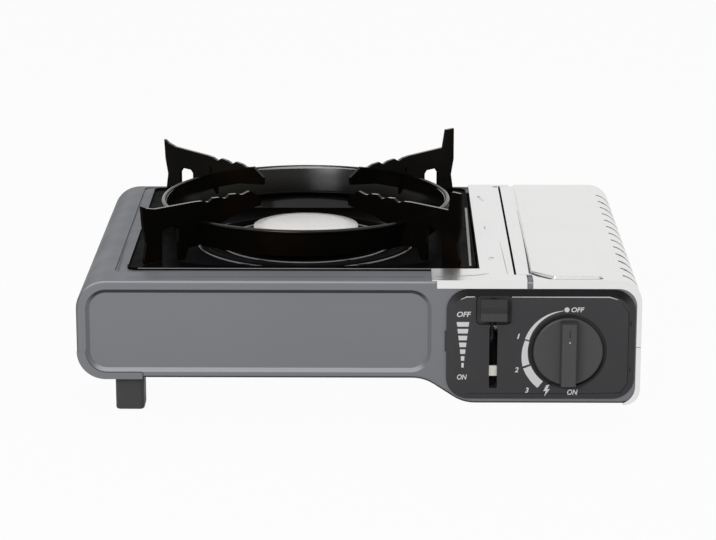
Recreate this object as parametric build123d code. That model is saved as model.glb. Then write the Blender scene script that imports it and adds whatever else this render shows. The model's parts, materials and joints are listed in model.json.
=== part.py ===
from build123d import *
import math
import os

# Portable butane cassette stove. Millimetres, +X to the right, +Y to the rear, +Z up.
# The origin is under the middle of the whole stove, on the table.

# ---------------------------------------------------------------- overall sizes
WIDTH = 344.0
DEPTH = 270.0
KNOB_REACH = 14.0
DECK_Z = 85.0
LEFT_FLOOR_Z = 23.4
RIGHT_FLOOR_Z = 7.6
SHEET = 0.8
SKIN = 0.6
SKIN_GAP = 0.3
FIT = 0.1
SEAT = 0.3

SKIN_OUT = SKIN + SKIN_GAP
X_LEFT = -WIDTH / 2
X_RIGHT = WIDTH / 2
SHELL_RIGHT = X_RIGHT - SKIN_OUT
FRONT_Y = -DEPTH / 2 + KNOB_REACH
REAR_Y = DEPTH / 2 - SKIN_OUT
COVER_Z = DECK_Z + SKIN_OUT
LID_WIDTH = 77.2
BRIDGE_WIDTH = 20.5
BRIDGE_RIGHT = X_RIGHT - LID_WIDTH
BRIDGE_LEFT = BRIDGE_RIGHT - BRIDGE_WIDTH

# ---------------------------------------------------------------- control panel
FASCIA_WIDTH = 114.6
FASCIA_SIDE = 4.0
FASCIA_DROP = 4.8
FASCIA_RAISE = 3.7
FASCIA_R = 13.5
FASCIA_THICK = 3.4
BORDER_WIDTH = 4.2
BORDER_DEPTH = 2.0
BORDER_EDGE_R = 0.8
FASCIA_RIGHT = X_RIGHT - FASCIA_SIDE
FASCIA_LEFT = FASCIA_RIGHT - FASCIA_WIDTH
FASCIA_TOP = DECK_Z - FASCIA_DROP
FASCIA_BOTTOM = RIGHT_FLOOR_Z + FASCIA_RAISE
CLIP_WIDTH = 0.9
CLIP_HEIGHT = 12.8
CLIP_RAISE = 29.9

SLOT_SIDE = 28.6
SLOT_WIDTH = 5.0
SLOT_RAISE = 7.4
LEVER_TRAVEL = 34.0
BUTTON_WIDTH = 16.0
BUTTON_HEIGHT = 13.0
BUTTON_DROP = 5.0
BUTTON_PROUD = 7.0
BUTTON_RIDGE = 3.2
BUTTON_SCOOP = 2.0
BUTTON_EDGE_R = 0.6
LEVER_RECESS_SIDE = 2.8
LEVER_RECESS_DEPTH = 1.8
LEVER_RECESS_UNDER = 3.4
LEVER_RECESS_OVER = 1.8
STEM_WIDTH = 4.2
STEM_HEIGHT = 8.0
STEM_DROP = 1.2
STOP_HALF = 12.0
STOP_HEIGHT = 6.5
STOP_SHEET = 1.2
SLOT_X = FASCIA_LEFT + SLOT_SIDE
SLOT_BOTTOM = FASCIA_BOTTOM + SLOT_RAISE
BUTTON_TOP = FASCIA_TOP - BUTTON_DROP
STEM_TOP = BUTTON_TOP - STEM_DROP

KNOB_SIDE = 40.5
KNOB_RAISE = 30.7
KNOB_R = 21.2
KNOB_PROUD = 0.7
KNOB_CLEAR = 1.2
WELL_DEPTH = 2.4
KNOB_GAP = 0.6
KNOB_EDGE_R = 1.2
GRIP_WIDTH = 10.4
GRIP_HALF_LENGTH = 19.6
GRIP_DRAFT = 0.8
GRIP_EDGE_R = 1.2
SPINDLE_GRIP = 7.0
SPINDLE_R = 3.0
SPINDLE_RUN = 0.08
KNOB_X = FASCIA_RIGHT - KNOB_SIDE
KNOB_Z = FASCIA_BOTTOM + KNOB_RAISE

# ---------------------------------------------------------------- body outline
TOP_LEFT_R = 18.5
TOP_RIGHT_R = 14.0
BOTTOM_LEFT_R = 17.0
BOTTOM_RIGHT_R = 10.0
STEP_TO_BRIDGE = 10.3
STEP_RUN = 24.0
STEP_R = 24.0
EDGE_R = 2.2
PAN_WALL = 8.0
STEP_LOW_X = BRIDGE_LEFT - STEP_TO_BRIDGE
STEP_HIGH_X = STEP_LOW_X - STEP_RUN
FLOOR_RIGHT = SHELL_RIGHT - BOTTOM_RIGHT_R - SEAT

# recessed panel in the front wall
RECESS_SIDE = 5.8
RECESS_TO_FASCIA = 9.0
RECESS_DROP = 5.5
RECESS_RAISE = 4.0
RECESS_R = 12.8
RECESS_DEPTH = 1.6
RECESS_SLOPE = 2.4
RECESS_LEFT = X_LEFT + RECESS_SIDE
RECESS_RIGHT = FASCIA_LEFT - RECESS_TO_FASCIA
RECESS_TOP = DECK_Z - RECESS_DROP
RECESS_BOTTOM = LEFT_FLOOR_Z + RECESS_RAISE

# ---------------------------------------------------------------- cover and lid
LID_GAP = 1.4
BRIDGE_TAB = 29.8
BRIDGE_LIP_SIDE = 3.1
FRONT_STRIP = 13.0
REAR_STRIP = 3.8
LIP_DROP = 4.3
SIDE_LIP = 3.0
LID_RAISE = 36.4
HINGE_DROP = 4.2
HINGE_LAND = 2.0
HINGE_EAR_REACH = 6.6
HINGE_PIN_R = 1.5
HINGE_PIN_LENGTH = 18.0
HINGE_EAR = 1.2
PANEL_SIDE = 24.2
PANEL_CHAMFER = 13.0
PANEL_MARGIN = 5.5
PANEL_REAR_MARGIN = 10.0
PANEL_RISE = 0.9
LOUVRE_COUNT = 13
LOUVRE_FIRST = 13.0
LOUVRE_LAST = 28.5
LOUVRE_WIDTH = 1.6
LOUVRE_SIDE = 11.0
LOUVRE_DROP = 7.0
BRIDGE_TAB_LEFT = BRIDGE_LEFT - BRIDGE_TAB
BRIDGE_LIP_LEFT = BRIDGE_TAB_LEFT + BRIDGE_LIP_SIDE
LIP_BOTTOM_Z = DECK_Z - LIP_DROP
LID_BOTTOM_Z = RIGHT_FLOOR_Z + LID_RAISE
HINGE_Z = DECK_Z - HINGE_DROP
HINGE_X = BRIDGE_RIGHT + SEAT + COVER_Z - HINGE_Z
HINGE_CLEAR = math.hypot(COVER_Z - HINGE_Z, HINGE_LAND) + SEAT / 2
STRIP_RIGHT = HINGE_X + HINGE_LAND
PANEL_LEFT = HINGE_X + HINGE_CLEAR
PANEL_RIGHT = X_RIGHT - PANEL_SIDE
LOUVRE_LEFT = X_RIGHT - LOUVRE_SIDE
LOUVRE_PITCH = (REAR_Y - LOUVRE_LAST - FRONT_Y - LOUVRE_FIRST) / (LOUVRE_COUNT - 1)

# ---------------------------------------------------------------- drip tray
TRAY_LEFT_MARGIN = 29.0
TRAY_TO_BRIDGE = 2.1
TRAY_FRONT_MARGIN = 27.5
TRAY_REAR_MARGIN = 10.6
TRAY_R = 6.0
TRAY_SHEET = 0.8
TRAY_FLANGE = 4.0
TRAY_LIP = 1.0
TRAY_DEPTH = 10.0
WELL_CORNER_R = 52.0
WELL_SLOPE = 20.0
TRAY_COLLAR = 4.0
HOLE_CLEAR = 10.0
BEAD_R = 66.0
BEAD_HEIGHT = 2.2
LEDGE_MARGIN = 7.0
LEDGE_DROP = 0.8
DECK_LIP = 5.0

TRAY_X0 = X_LEFT + TRAY_LEFT_MARGIN
TRAY_X1 = BRIDGE_LEFT - TRAY_TO_BRIDGE
TRAY_Y0 = FRONT_Y + TRAY_FRONT_MARGIN
TRAY_Y1 = REAR_Y - TRAY_REAR_MARGIN
TRAY_SPAN = min(TRAY_X1 - TRAY_X0, TRAY_Y1 - TRAY_Y0)
BURNER_X = (TRAY_X0 + TRAY_X1) / 2
BURNER_Y = (TRAY_Y0 + TRAY_Y1) / 2
LEDGE_Z = DECK_Z - LEDGE_DROP
TRAY_FLOOR_Z = DECK_Z - TRAY_DEPTH

# ---------------------------------------------------------------- burner
CAP_R = 34.5
CAP_RISE = 1.5
CAP_HEIGHT = 5.0
CAP_BEVEL = 6.5
CAP_CROWN = 0.8
CAP_EDGE_R = 0.8
HEAD_HEIGHT = 20.0
HEAD_CUP = 8.0
HEAD_R = 32.0
HEAD_WALL = 2.5
PORT_COUNT = 36
PORT_WIDTH = 1.6
PORT_HEIGHT = 3.0
GAS_DROP = 0.5
TUBE_R = 8.0
TUBE_WALL = 1.0
INJECTOR_INSET = 24.2
BRACKET_HALF = 26.0
BRACKET_DEPTH = 24.0
BRACKET_SHEET = 1.2
BRACKET_FOOT = 12.0
BRACKET_HOLE = 7.0
TRAY_HOLE_R = CAP_R + HOLE_CLEAR
CAP_TOP_Z = DECK_Z + CAP_RISE
GAS_Z = CAP_TOP_Z - CAP_HEIGHT - HEAD_HEIGHT - GAS_DROP

# ---------------------------------------------------------------- pan support
RING_MARGIN = 13.9
RING_LEAN = 8.7
RING_HEIGHT = 18.5
RING_CLEAR = 2.5
RING_SHEET = 1.2
RIM_BEAD_R = 1.5
WING_SHEET = 2.0
WING_INNER_R = 40.0
WING_REACH = 45.3
WING_TOP = 32.8
TOOTH_DEPTH = 1.8
TOOTH_PITCH = 14.5
TOOTH_COUNT = 3
TEETH_START_R = 50.0
LEG_WIDTH = 15.0
ARCH_WIDTH = 13.5
ARCH_TOP = 20.0
ARCH_CORNER = 2.0
INNER_LEG_WIDTH = 5.0
INNER_LEG_DROP = 2.6
WAIST = 2.6
HORN_HEIGHT = 12.5
HORN_WIDTH = 7.3
TIP_HEIGHT = 4.2
STUD_R = 2.2
STUD_PROUD = 0.8
RING_RIM_R = TRAY_SPAN / 2 - RING_MARGIN
RING_FOOT_R = RING_RIM_R - RING_LEAN
RING_FOOT_Z = DECK_Z + RING_CLEAR
RING_RIM_Z = RING_FOOT_Z + RING_HEIGHT
WING_OUTER_R = RING_RIM_R + WING_REACH
ARCH_OUT_R = WING_OUTER_R - LEG_WIDTH
ARCH_IN_R = ARCH_OUT_R - ARCH_WIDTH

# ---------------------------------------------------------------- gas control and cartridge
CARTRIDGE_SIDE = 39.4
CARTRIDGE_RAISE = 38.4
CARRIAGE_SHEET = 1.5
RUNNER = 1.6
CARRIAGE_STROKE = 8.0
PUSHER_MARGIN = 9.1
ARM_SIDE = 43.6
ARM_RISE = 6.0
CAM_THICK = 1.5
CAM_MARGIN = 5.0
CAM_PIN_R = 2.0
CAM_PIN_RUN = 0.08
CAM_PIN_RISE = 2.5
CAM_PIN_SET = 30.0
SOCKET_R = 25.0
SOCKET_BORE_R = 21.2
SOCKET_DEPTH = 8.0
SOCKET_SET = 50.0
SOCKET_FLOOR = 3.0
REGULATOR_R = 20.0
REGULATOR_LENGTH = 19.0
VALVE_HALF_WIDTH = 15.0
VALVE_HALF_HEIGHT = 14.0
DIAPHRAGM_R = 14.0
PIPE_R = 2.5
PIPE_WALL = 0.8
SHIELD_INSET = 6.7
SHIELD_SET = 49.0
SHIELD_TAB = 4.0
SHIELD_REAR_TAB = 41.1
SHIELD_FOOT = 10.0
SHIELD_FOOT_INSET = 18.0
SCREW_R = 1.5
SCREW_DEPTH = 2.0
CARTRIDGE_X = X_RIGHT - CARTRIDGE_SIDE
CARTRIDGE_Z = RIGHT_FLOOR_Z + CARTRIDGE_RAISE
SOCKET_MOUTH_Y = FRONT_Y + SOCKET_SET
CARRIAGE_FRONT_Y = SOCKET_MOUTH_Y + CARRIAGE_STROKE
PUSHER_Y = REAR_Y - PUSHER_MARGIN
ARM_X = CARTRIDGE_X - ARM_SIDE
ARM_TOP = CARTRIDGE_Z + ARM_RISE
CAM_PIN_Z = CARTRIDGE_Z + CAM_PIN_RISE
CAM_PIN_Y = FRONT_Y + CAM_PIN_SET
SHIELD_X = BRIDGE_LEFT + SHIELD_INSET
SHIELD_Y = FRONT_Y + SHIELD_SET

# ---------------------------------------------------------------- ignition
ELECTRODE_ANGLE = math.radians(70)
INSULATOR_R = 3.0
ELECTRODE_R = 1.0
IGNITER_WIDTH = 12.0
IGNITER_SIDE = 4.0
IGNITER_DROP = 21.0
IGNITER_REACH = 16.0

# ---------------------------------------------------------------- feet
FOOT_SIZE = 17.6
FOOT_R = 3.0
FOOT_SIDE = 31.0
FOOT_INSET = 10.0
RIGHT_FOOT_SIDE = 24.0
RIGHT_FOOT_INSET = 32.0
FOOT_X = X_LEFT + FOOT_SIDE
RIGHT_FOOT_X = X_RIGHT - RIGHT_FOOT_SIDE


# ---------------------------------------------------------------- helpers
def block(x0, x1, y0, y1, z0, z1):
    """A box from its two corners."""
    middle = ((x0 + x1) / 2, (y0 + y1) / 2, (z0 + z1) / 2)
    return Pos(*middle) * Box(abs(x1 - x0), abs(y1 - y0), abs(z1 - z0))


def rod(start, end, radius):
    """A round bar between two points on a line along X, Y or Z."""
    a = Vector(*start)
    b = Vector(*end)
    run = b - a
    plane = Plane(origin=a, z_dir=run.normalized())
    return extrude(plane * Circle(radius), amount=run.length)


def tube(start, end, outer, inner):
    """A pipe length between two points."""
    return rod(start, end, outer) - rod(start, end, inner)


def slab(face, y0, y1):
    """A face drawn in X and Z, made solid between two depths."""
    return extrude(Plane.XZ.offset(-y0) * face, amount=-(y1 - y0))


def plate(face, z0, z1):
    """A face drawn in X and Y, made solid between two heights."""
    return extrude(Plane.XY.offset(z0) * face, amount=z1 - z0)


def rounded_polygon(corners):
    """A closed outline of (x, y, radius) corners."""
    face = make_face(Polyline([(x, y) for x, y, r in corners], close=True))
    for x, y, r in corners:
        if r > 0:
            corner = face.vertices().sort_by_distance((x, y, 0))[0]
            face = fillet(corner, r)
    return face


def rounded_rectangle(x0, x1, y0, y1, radius):
    """A rectangle between its limits, with round corners."""
    return rounded_polygon([(x0, y0, radius), (x1, y0, radius), (x1, y1, radius), (x0, y1, radius)])


def outline(right, top, right_floor, inset):
    """The body seen from the front: two floor levels joined by a slope, drawn in by inset."""
    lean = math.atan2(LEFT_FLOOR_Z - RIGHT_FLOOR_Z, STEP_LOW_X - STEP_HIGH_X)
    shift = inset * math.tan(lean / 2)
    corners = [
        (X_LEFT + inset, top - inset, TOP_LEFT_R - inset),
        (right - inset, top - inset, TOP_RIGHT_R - inset),
        (right - inset, right_floor + inset, BOTTOM_RIGHT_R - inset),
        (STEP_LOW_X + shift, right_floor + inset, STEP_R),
        (STEP_HIGH_X + shift, LEFT_FLOOR_Z + inset, STEP_R),
        (X_LEFT + inset, LEFT_FLOOR_Z + inset, BOTTOM_LEFT_R - inset),
    ]
    return rounded_polygon(corners)


def shell_outline(inset):
    return outline(SHELL_RIGHT, DECK_Z, RIGHT_FLOOR_Z, inset)


def skin_outline(inset):
    return outline(X_RIGHT, COVER_Z, RIGHT_FLOOR_Z - SKIN, inset)


def round_ends(solid, radius):
    """Rounds the front and rear edges of a slab."""
    faces = solid.faces().sort_by(Axis.Y)
    return fillet(faces[0].edges() + faces[-1].edges(), radius)


# ---------------------------------------------------------------- body
def make_outer_shell():
    body = round_ends(slab(shell_outline(0), FRONT_Y, REAR_Y), EDGE_R)
    cavity = slab(shell_outline(SHEET), FRONT_Y + SHEET, REAR_Y - SHEET)
    cavity = round_ends(cavity, EDGE_R - SHEET)
    recess = rounded_rectangle(RECESS_LEFT, RECESS_RIGHT, RECESS_BOTTOM, RECESS_TOP, RECESS_R)
    slope = math.degrees(math.atan2(RECESS_SLOPE, RECESS_DEPTH))
    backing = rounded_rectangle(
        RECESS_LEFT - SHEET, RECESS_RIGHT + SHEET, RECESS_BOTTOM - SHEET, RECESS_TOP + SHEET,
        RECESS_R + SHEET)
    cavity -= slab(backing, FRONT_Y, FRONT_Y + RECESS_DEPTH + SHEET)
    ledge_left = TRAY_X0 - LEDGE_MARGIN
    ledge_front = TRAY_Y0 - LEDGE_MARGIN
    ledge_rear = TRAY_Y1 + LEDGE_MARGIN
    cavity -= block(ledge_left - SHEET, BRIDGE_LEFT, ledge_front - SHEET, ledge_rear + SHEET,
                    LEDGE_Z - SHEET, DECK_Z)
    shell = body - cavity
    shell -= extrude(Plane.XZ.offset(-FRONT_Y) * recess, amount=-RECESS_DEPTH, taper=slope)
    ledge = rounded_rectangle(ledge_left, BRIDGE_LEFT + 1, ledge_front, ledge_rear, TRAY_R)
    shell -= plate(ledge, LEDGE_Z, DECK_Z + 1)
    opening = rounded_rectangle(TRAY_X0 + DECK_LIP, SHELL_RIGHT, TRAY_Y0 + DECK_LIP,
                                TRAY_Y1 - DECK_LIP, TRAY_R)
    shell -= plate(opening, LEDGE_Z - 2, DECK_Z + 1)
    flange = FRONT_STRIP - SEAT - HINGE_EAR
    shell -= block(BRIDGE_LEFT, X_RIGHT, FRONT_Y + flange, REAR_Y - REAR_STRIP,
                   LEDGE_Z - 2, DECK_Z + 1)
    shell -= block(SHELL_RIGHT - TOP_RIGHT_R, X_RIGHT, FRONT_Y + EDGE_R, REAR_Y - EDGE_R,
                   LID_BOTTOM_Z - SEAT, DECK_Z + 1)
    shell -= block(X_LEFT + BOTTOM_LEFT_R, SHELL_RIGHT - BOTTOM_RIGHT_R,
                   FRONT_Y + FOOT_INSET - SEAT, REAR_Y - FOOT_INSET + SEAT,
                   0, LEFT_FLOOR_Z + SHEET)
    shell -= slab(rounded_rectangle(SLOT_X - 7, SLOT_X + 7, SLOT_BOTTOM, STEM_TOP + 2, 2),
                  FRONT_Y - 1, FRONT_Y + 2)
    shell -= rod((KNOB_X, FRONT_Y - 1, KNOB_Z), (KNOB_X, FRONT_Y + 2, KNOB_Z), SPINDLE_R + 1)
    for x, z in fascia_screw_points():
        shell -= rod((x, FRONT_Y - 1, z), (x, FRONT_Y + 2, z), SCREW_R + FIT)
    return shell


def make_base_pan():
    split = STEP_LOW_X - 6
    outer = slab(shell_outline(SHEET + FIT), FRONT_Y + SHEET + FIT, REAR_Y - SHEET - FIT)
    outer = round_ends(outer, EDGE_R - SHEET)
    inner = slab(shell_outline(2 * SHEET + FIT), FRONT_Y + 2 * SHEET + FIT,
                 REAR_Y - 2 * SHEET - FIT)
    pan = outer - inner
    pan -= block(X_LEFT, split, FRONT_Y, REAR_Y, LEFT_FLOOR_Z + PAN_WALL, DECK_Z)
    pan -= block(split, X_RIGHT, FRONT_Y, REAR_Y, RIGHT_FLOOR_Z + PAN_WALL, DECK_Z)
    pan -= block(X_LEFT, RECESS_RIGHT + 2, FRONT_Y, FRONT_Y + 4,
                 RECESS_BOTTOM - SHEET - SEAT, DECK_Z)
    for x, y, floor in foot_points():
        pan -= rod((x, y, 0), (x, y, floor + 5), SCREW_R + FIT)
    return pan


def make_side_panel():
    skin = slab(skin_outline(0), FRONT_Y - SKIN_OUT, REAR_Y + SKIN_OUT)
    skin -= slab(skin_outline(SKIN), FRONT_Y - SKIN_OUT, REAR_Y + SKIN_OUT)
    lips = skin_lips()
    keep = block(X_RIGHT - BOTTOM_RIGHT_R, X_RIGHT + 1, FRONT_Y - 2, REAR_Y + 2,
                 0, LID_BOTTOM_Z - SEAT)
    return (skin + lips) & keep


def skin_lips():
    """The edge of the bright skin, folded over the front and the rear wall."""
    face = skin_outline(0) - rounded_rectangle(
        X_LEFT - 9, X_RIGHT - SIDE_LIP, RIGHT_FLOOR_Z, LIP_BOTTOM_Z, TOP_RIGHT_R - SIDE_LIP)
    front = slab(face, FRONT_Y - SKIN_OUT, FRONT_Y - SKIN_GAP)
    rear = slab(face, REAR_Y + SKIN_GAP, REAR_Y + SKIN_OUT)
    return front + rear


def make_bridge_cover():
    low = COVER_Z - SKIN
    front = FRONT_Y - SKIN_OUT
    rear = REAR_Y + SKIN_OUT
    cover = block(BRIDGE_LEFT, BRIDGE_RIGHT, front, rear, low, COVER_Z)
    cover += block(BRIDGE_TAB_LEFT, BRIDGE_LEFT, front, TRAY_Y0 - SEAT, low, COVER_Z)
    cover += block(BRIDGE_LEFT, STRIP_RIGHT, front, FRONT_Y + FRONT_STRIP - SEAT, low, COVER_Z)
    cover += block(BRIDGE_LEFT, STRIP_RIGHT, REAR_Y - REAR_STRIP + SEAT, rear, low, COVER_Z)
    cover += block(BRIDGE_LIP_LEFT, STRIP_RIGHT, front, front + SKIN, LIP_BOTTOM_Z, COVER_Z)
    cover += block(BRIDGE_LEFT, STRIP_RIGHT, rear - SKIN, rear, LIP_BOTTOM_Z, COVER_Z)
    cover += block(BRIDGE_LEFT, BRIDGE_LEFT + SKIN, TRAY_Y0 + SEAT, TRAY_Y1, COVER_Z - 9, low)
    for y in shield_tab_places():
        cover -= block(SHIELD_X - FIT, SHIELD_X + SHEET + FIT, y - SHIELD_TAB / 2 - FIT,
                       y + SHIELD_TAB / 2 + FIT, low - 1, COVER_Z + 1)
    return cover


def shield_tab_places():
    first = SHIELD_Y + SHIELD_TAB / 2
    last = REAR_Y - SHIELD_REAR_TAB
    return [first, (first + last) / 2, last]


def make_heat_shield():
    floor = RIGHT_FLOOR_Z + 2 * SHEET + FIT
    top = COVER_Z - SKIN - FIT
    rear = REAR_Y - REAR_STRIP - SEAT
    shield = block(SHIELD_X, SHIELD_X + SHEET, SHIELD_Y, rear, floor + FIT, top)
    shield += block(SHIELD_X - SHIELD_FOOT, SHIELD_X, SHIELD_Y + SHIELD_FOOT_INSET,
                    rear - SHIELD_FOOT_INSET, floor + FIT, floor + FIT + SHEET)
    for y in shield_tab_places():
        shield += block(SHIELD_X, SHIELD_X + SHEET, y - SHIELD_TAB / 2, y + SHIELD_TAB / 2,
                        top, COVER_Z + SHEET)
    return shield


# ---------------------------------------------------------------- lid
def make_lid():
    left = BRIDGE_RIGHT + LID_GAP
    skin = slab(skin_outline(0), FRONT_Y - SKIN_OUT, REAR_Y + SKIN_OUT)
    skin -= slab(skin_outline(SKIN), FRONT_Y - SKIN_OUT, REAR_Y + SKIN_OUT)
    lid = skin + skin_lips()
    lid &= block(left, X_RIGHT + 1, FRONT_Y - 2, REAR_Y + 2, LID_BOTTOM_Z, COVER_Z + 1)
    corner = PANEL_LEFT
    lid -= block(left - 1, corner, FRONT_Y - 2, FRONT_Y + FRONT_STRIP, 0, COVER_Z + 1)
    lid -= block(left - 1, corner, REAR_Y - REAR_STRIP, REAR_Y + 2, 0, COVER_Z + 1)
    lid -= block(left - 1, corner, FRONT_Y - 2, REAR_Y + 2, 0, COVER_Z - SKIN)
    front = FRONT_Y + PANEL_MARGIN
    rear = REAR_Y - PANEL_REAR_MARGIN
    raised = rounded_polygon([
        (PANEL_LEFT, front + PANEL_CHAMFER, 2), (PANEL_LEFT + PANEL_CHAMFER, front, 2),
        (PANEL_RIGHT, front, 2), (PANEL_RIGHT, rear, 4), (PANEL_LEFT, rear, 4)])
    lid += plate(raised, COVER_Z, COVER_Z + PANEL_RISE)
    lid -= plate(offset(raised, amount=-SKIN), COVER_Z - SKIN, COVER_Z + PANEL_RISE - SKIN)
    for y in hinge_ear_places():
        ear = block(left, HINGE_X + HINGE_EAR_REACH, y, y + HINGE_EAR, HINGE_Z - 4.8, COVER_Z - SKIN)
        lid += ear - rod((HINGE_X, y - 1, HINGE_Z), (HINGE_X, y + 3, HINGE_Z), HINGE_PIN_R + FIT)
    for i in range(LOUVRE_COUNT):
        y = FRONT_Y + LOUVRE_FIRST + i * LOUVRE_PITCH
        lid -= block(LOUVRE_LEFT, X_RIGHT + 1, y - LOUVRE_WIDTH / 2, y + LOUVRE_WIDTH / 2,
                     COVER_Z - LOUVRE_DROP, COVER_Z + 1)
    return lid


def hinge_ear_places():
    return [FRONT_Y + FRONT_STRIP + SEAT, REAR_Y - REAR_STRIP - SEAT - HINGE_EAR]


def make_lid_hinge_pins():
    pins = []
    for wall, way in ((FRONT_Y + SHEET, 1), (REAR_Y - SHEET, -1)):
        pin = rod((HINGE_X, wall, HINGE_Z), (HINGE_X, wall + way * HINGE_PIN_LENGTH, HINGE_Z),
                  HINGE_PIN_R)
        pin += rod((HINGE_X, wall, HINGE_Z), (HINGE_X, wall + way * 2, HINGE_Z), HINGE_PIN_R + 0.5)
        pins.append(pin)
    return Compound(children=pins)


# ---------------------------------------------------------------- control panel
def fascia_screw_points():
    left = FASCIA_LEFT + 12
    right = FASCIA_RIGHT - 8
    low = FASCIA_BOTTOM + 9
    high = FASCIA_TOP - 9
    return [(left, low), (right, low), (right, high), (left, high)]


def make_control_panel():
    front = FRONT_Y - FASCIA_THICK
    border = front + BORDER_DEPTH
    face = rounded_rectangle(FASCIA_LEFT, FASCIA_RIGHT, FASCIA_BOTTOM, FASCIA_TOP, FASCIA_R)
    slope = math.degrees(math.atan2(BORDER_WIDTH, BORDER_DEPTH))
    fascia = slab(face, border, FRONT_Y)
    fascia += extrude(Plane.XZ.offset(-border) * face, amount=BORDER_DEPTH, taper=slope)
    fascia = fillet(fascia.faces().sort_by(Axis.Y)[0].edges(), BORDER_EDGE_R)
    fascia += block(FASCIA_LEFT - CLIP_WIDTH, FASCIA_LEFT + 2, FRONT_Y - 1.2, FRONT_Y,
                    FASCIA_BOTTOM + CLIP_RAISE, FASCIA_BOTTOM + CLIP_RAISE + CLIP_HEIGHT)
    half = BUTTON_WIDTH / 2 + LEVER_RECESS_SIDE
    recess = rounded_rectangle(SLOT_X - half, SLOT_X + half,
                               BUTTON_TOP - BUTTON_HEIGHT - LEVER_RECESS_UNDER,
                               BUTTON_TOP + LEVER_RECESS_OVER, 3)
    fascia -= slab(recess, front - 1, front + LEVER_RECESS_DEPTH)
    slot = rounded_rectangle(SLOT_X - SLOT_WIDTH / 2, SLOT_X + SLOT_WIDTH / 2,
                             SLOT_BOTTOM, STEM_TOP + 1, 1)
    fascia -= slab(slot, front - 1, FRONT_Y + 1)
    fascia -= rod((KNOB_X, front - 1, KNOB_Z), (KNOB_X, front + WELL_DEPTH, KNOB_Z),
                  KNOB_R + KNOB_CLEAR)
    fascia -= rod((KNOB_X, front - 1, KNOB_Z), (KNOB_X, FRONT_Y + 1, KNOB_Z), SPINDLE_R + 1)
    for x, z in fascia_screw_points():
        fascia -= rod((x, FRONT_Y + 1, z), (x, FRONT_Y - SCREW_DEPTH, z), SCREW_R)
    return fascia


def make_panel_screws():
    screws = []
    for x, z in fascia_screw_points():
        screw = rod((x, FRONT_Y - SCREW_DEPTH, z), (x, FRONT_Y + SHEET, z), SCREW_R)
        screw += rod((x, FRONT_Y + SHEET, z), (x, FRONT_Y + SHEET + 2, z), 2 * SCREW_R)
        screws.append(screw)
    return Compound(children=screws)


def knob_back_y():
    return FRONT_Y - FASCIA_THICK + WELL_DEPTH - KNOB_GAP


def make_control_knob():
    """A disc that sits in the fascia's well, and a grip bar with drafted sides."""
    back = knob_back_y()
    disc_front = FRONT_Y - FASCIA_THICK - KNOB_PROUD
    disc = rod((KNOB_X, back, KNOB_Z), (KNOB_X, disc_front, KNOB_Z), KNOB_R)
    disc = fillet(disc.faces().sort_by(Axis.Y)[0].edges(), KNOB_EDGE_R)
    base = GRIP_WIDTH / 2
    tip = base - GRIP_DRAFT
    tip_y = FRONT_Y - KNOB_REACH
    section = make_face(Polyline([
        (KNOB_X - base, disc_front + 1), (KNOB_X + base, disc_front + 1),
        (KNOB_X + tip, tip_y), (KNOB_X - tip, tip_y)], close=True))
    grip = plate(section, KNOB_Z - GRIP_HALF_LENGTH, KNOB_Z + GRIP_HALF_LENGTH)
    grip = fillet(grip.faces().sort_by(Axis.Y)[0].edges(), GRIP_EDGE_R)
    socket = rod((KNOB_X, back + 1, KNOB_Z), (KNOB_X, back - SPINDLE_GRIP, KNOB_Z), SPINDLE_R)
    return disc + grip - socket


def make_valve_spindle():
    front = knob_back_y() - SPINDLE_GRIP
    spindle = rod((KNOB_X, front, KNOB_Z), (KNOB_X, valve_front_y() + 6, KNOB_Z), SPINDLE_R)
    cam = rod((KNOB_X, FRONT_Y + SHEET + 2.2, KNOB_Z), (KNOB_X, valve_front_y() - SEAT, KNOB_Z), 5.5)
    cam += block(KNOB_X, KNOB_X + 9, FRONT_Y + SHEET + 2.2, FRONT_Y + SHEET + 4.2,
                 KNOB_Z - 1.5, KNOB_Z + 1.5)
    return spindle + cam


# ---------------------------------------------------------------- lock lever
def make_lock_lever_button():
    """A thumb button with a ridge and a scooped face, and the stem behind it."""
    face_y = FRONT_Y - FASCIA_THICK
    half = BUTTON_WIDTH / 2
    low = BUTTON_TOP - BUTTON_HEIGHT
    ridge = BUTTON_TOP - BUTTON_RIDGE
    front = face_y - BUTTON_PROUD
    profile = make_face(Polyline([
        (face_y - SEAT, low), (front, low), (front + BUTTON_SCOOP, (low + ridge) / 2),
        (front, ridge), (face_y - BUTTON_SCOOP, BUTTON_TOP), (face_y - SEAT, BUTTON_TOP)],
        close=True))
    cap = extrude(Plane.YZ.offset(SLOT_X - half) * profile, amount=BUTTON_WIDTH)
    cap = fillet(cap.edges().filter_by(Axis.X).sort_by(Axis.Y)[:2], BUTTON_EDGE_R)
    stem = block(SLOT_X - STEM_WIDTH / 2, SLOT_X + STEM_WIDTH / 2, face_y - 1, cam_front_y(),
                 STEM_TOP - STEM_HEIGHT, STEM_TOP)
    return cap + stem


def cam_front_y():
    return FRONT_Y + 5


def cam_rise():
    """The slot runs from the pin at rest to the pin at the end of the lever's travel."""
    return LEVER_TRAVEL


def make_lock_lever_plate():
    x0 = SLOT_X - CAM_THICK / 2
    x1 = SLOT_X + CAM_THICK / 2
    low = CAM_PIN_Z - CAM_MARGIN + 1
    high = CAM_PIN_Z + cam_rise() + CAM_MARGIN - 3
    y_front = CAM_PIN_Y - CARRIAGE_STROKE - CAM_PIN_R - CAM_MARGIN
    y_back = CAM_PIN_Y + CAM_PIN_R + CAM_MARGIN
    cam = block(x0, x1, y_front, y_back, low, high)
    cam += block(x0, x1, cam_front_y(), y_front, STEM_TOP - STEM_HEIGHT, STEM_TOP)
    cam -= cam_slot(x0 - 1, x1 + 1)
    return cam


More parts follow.
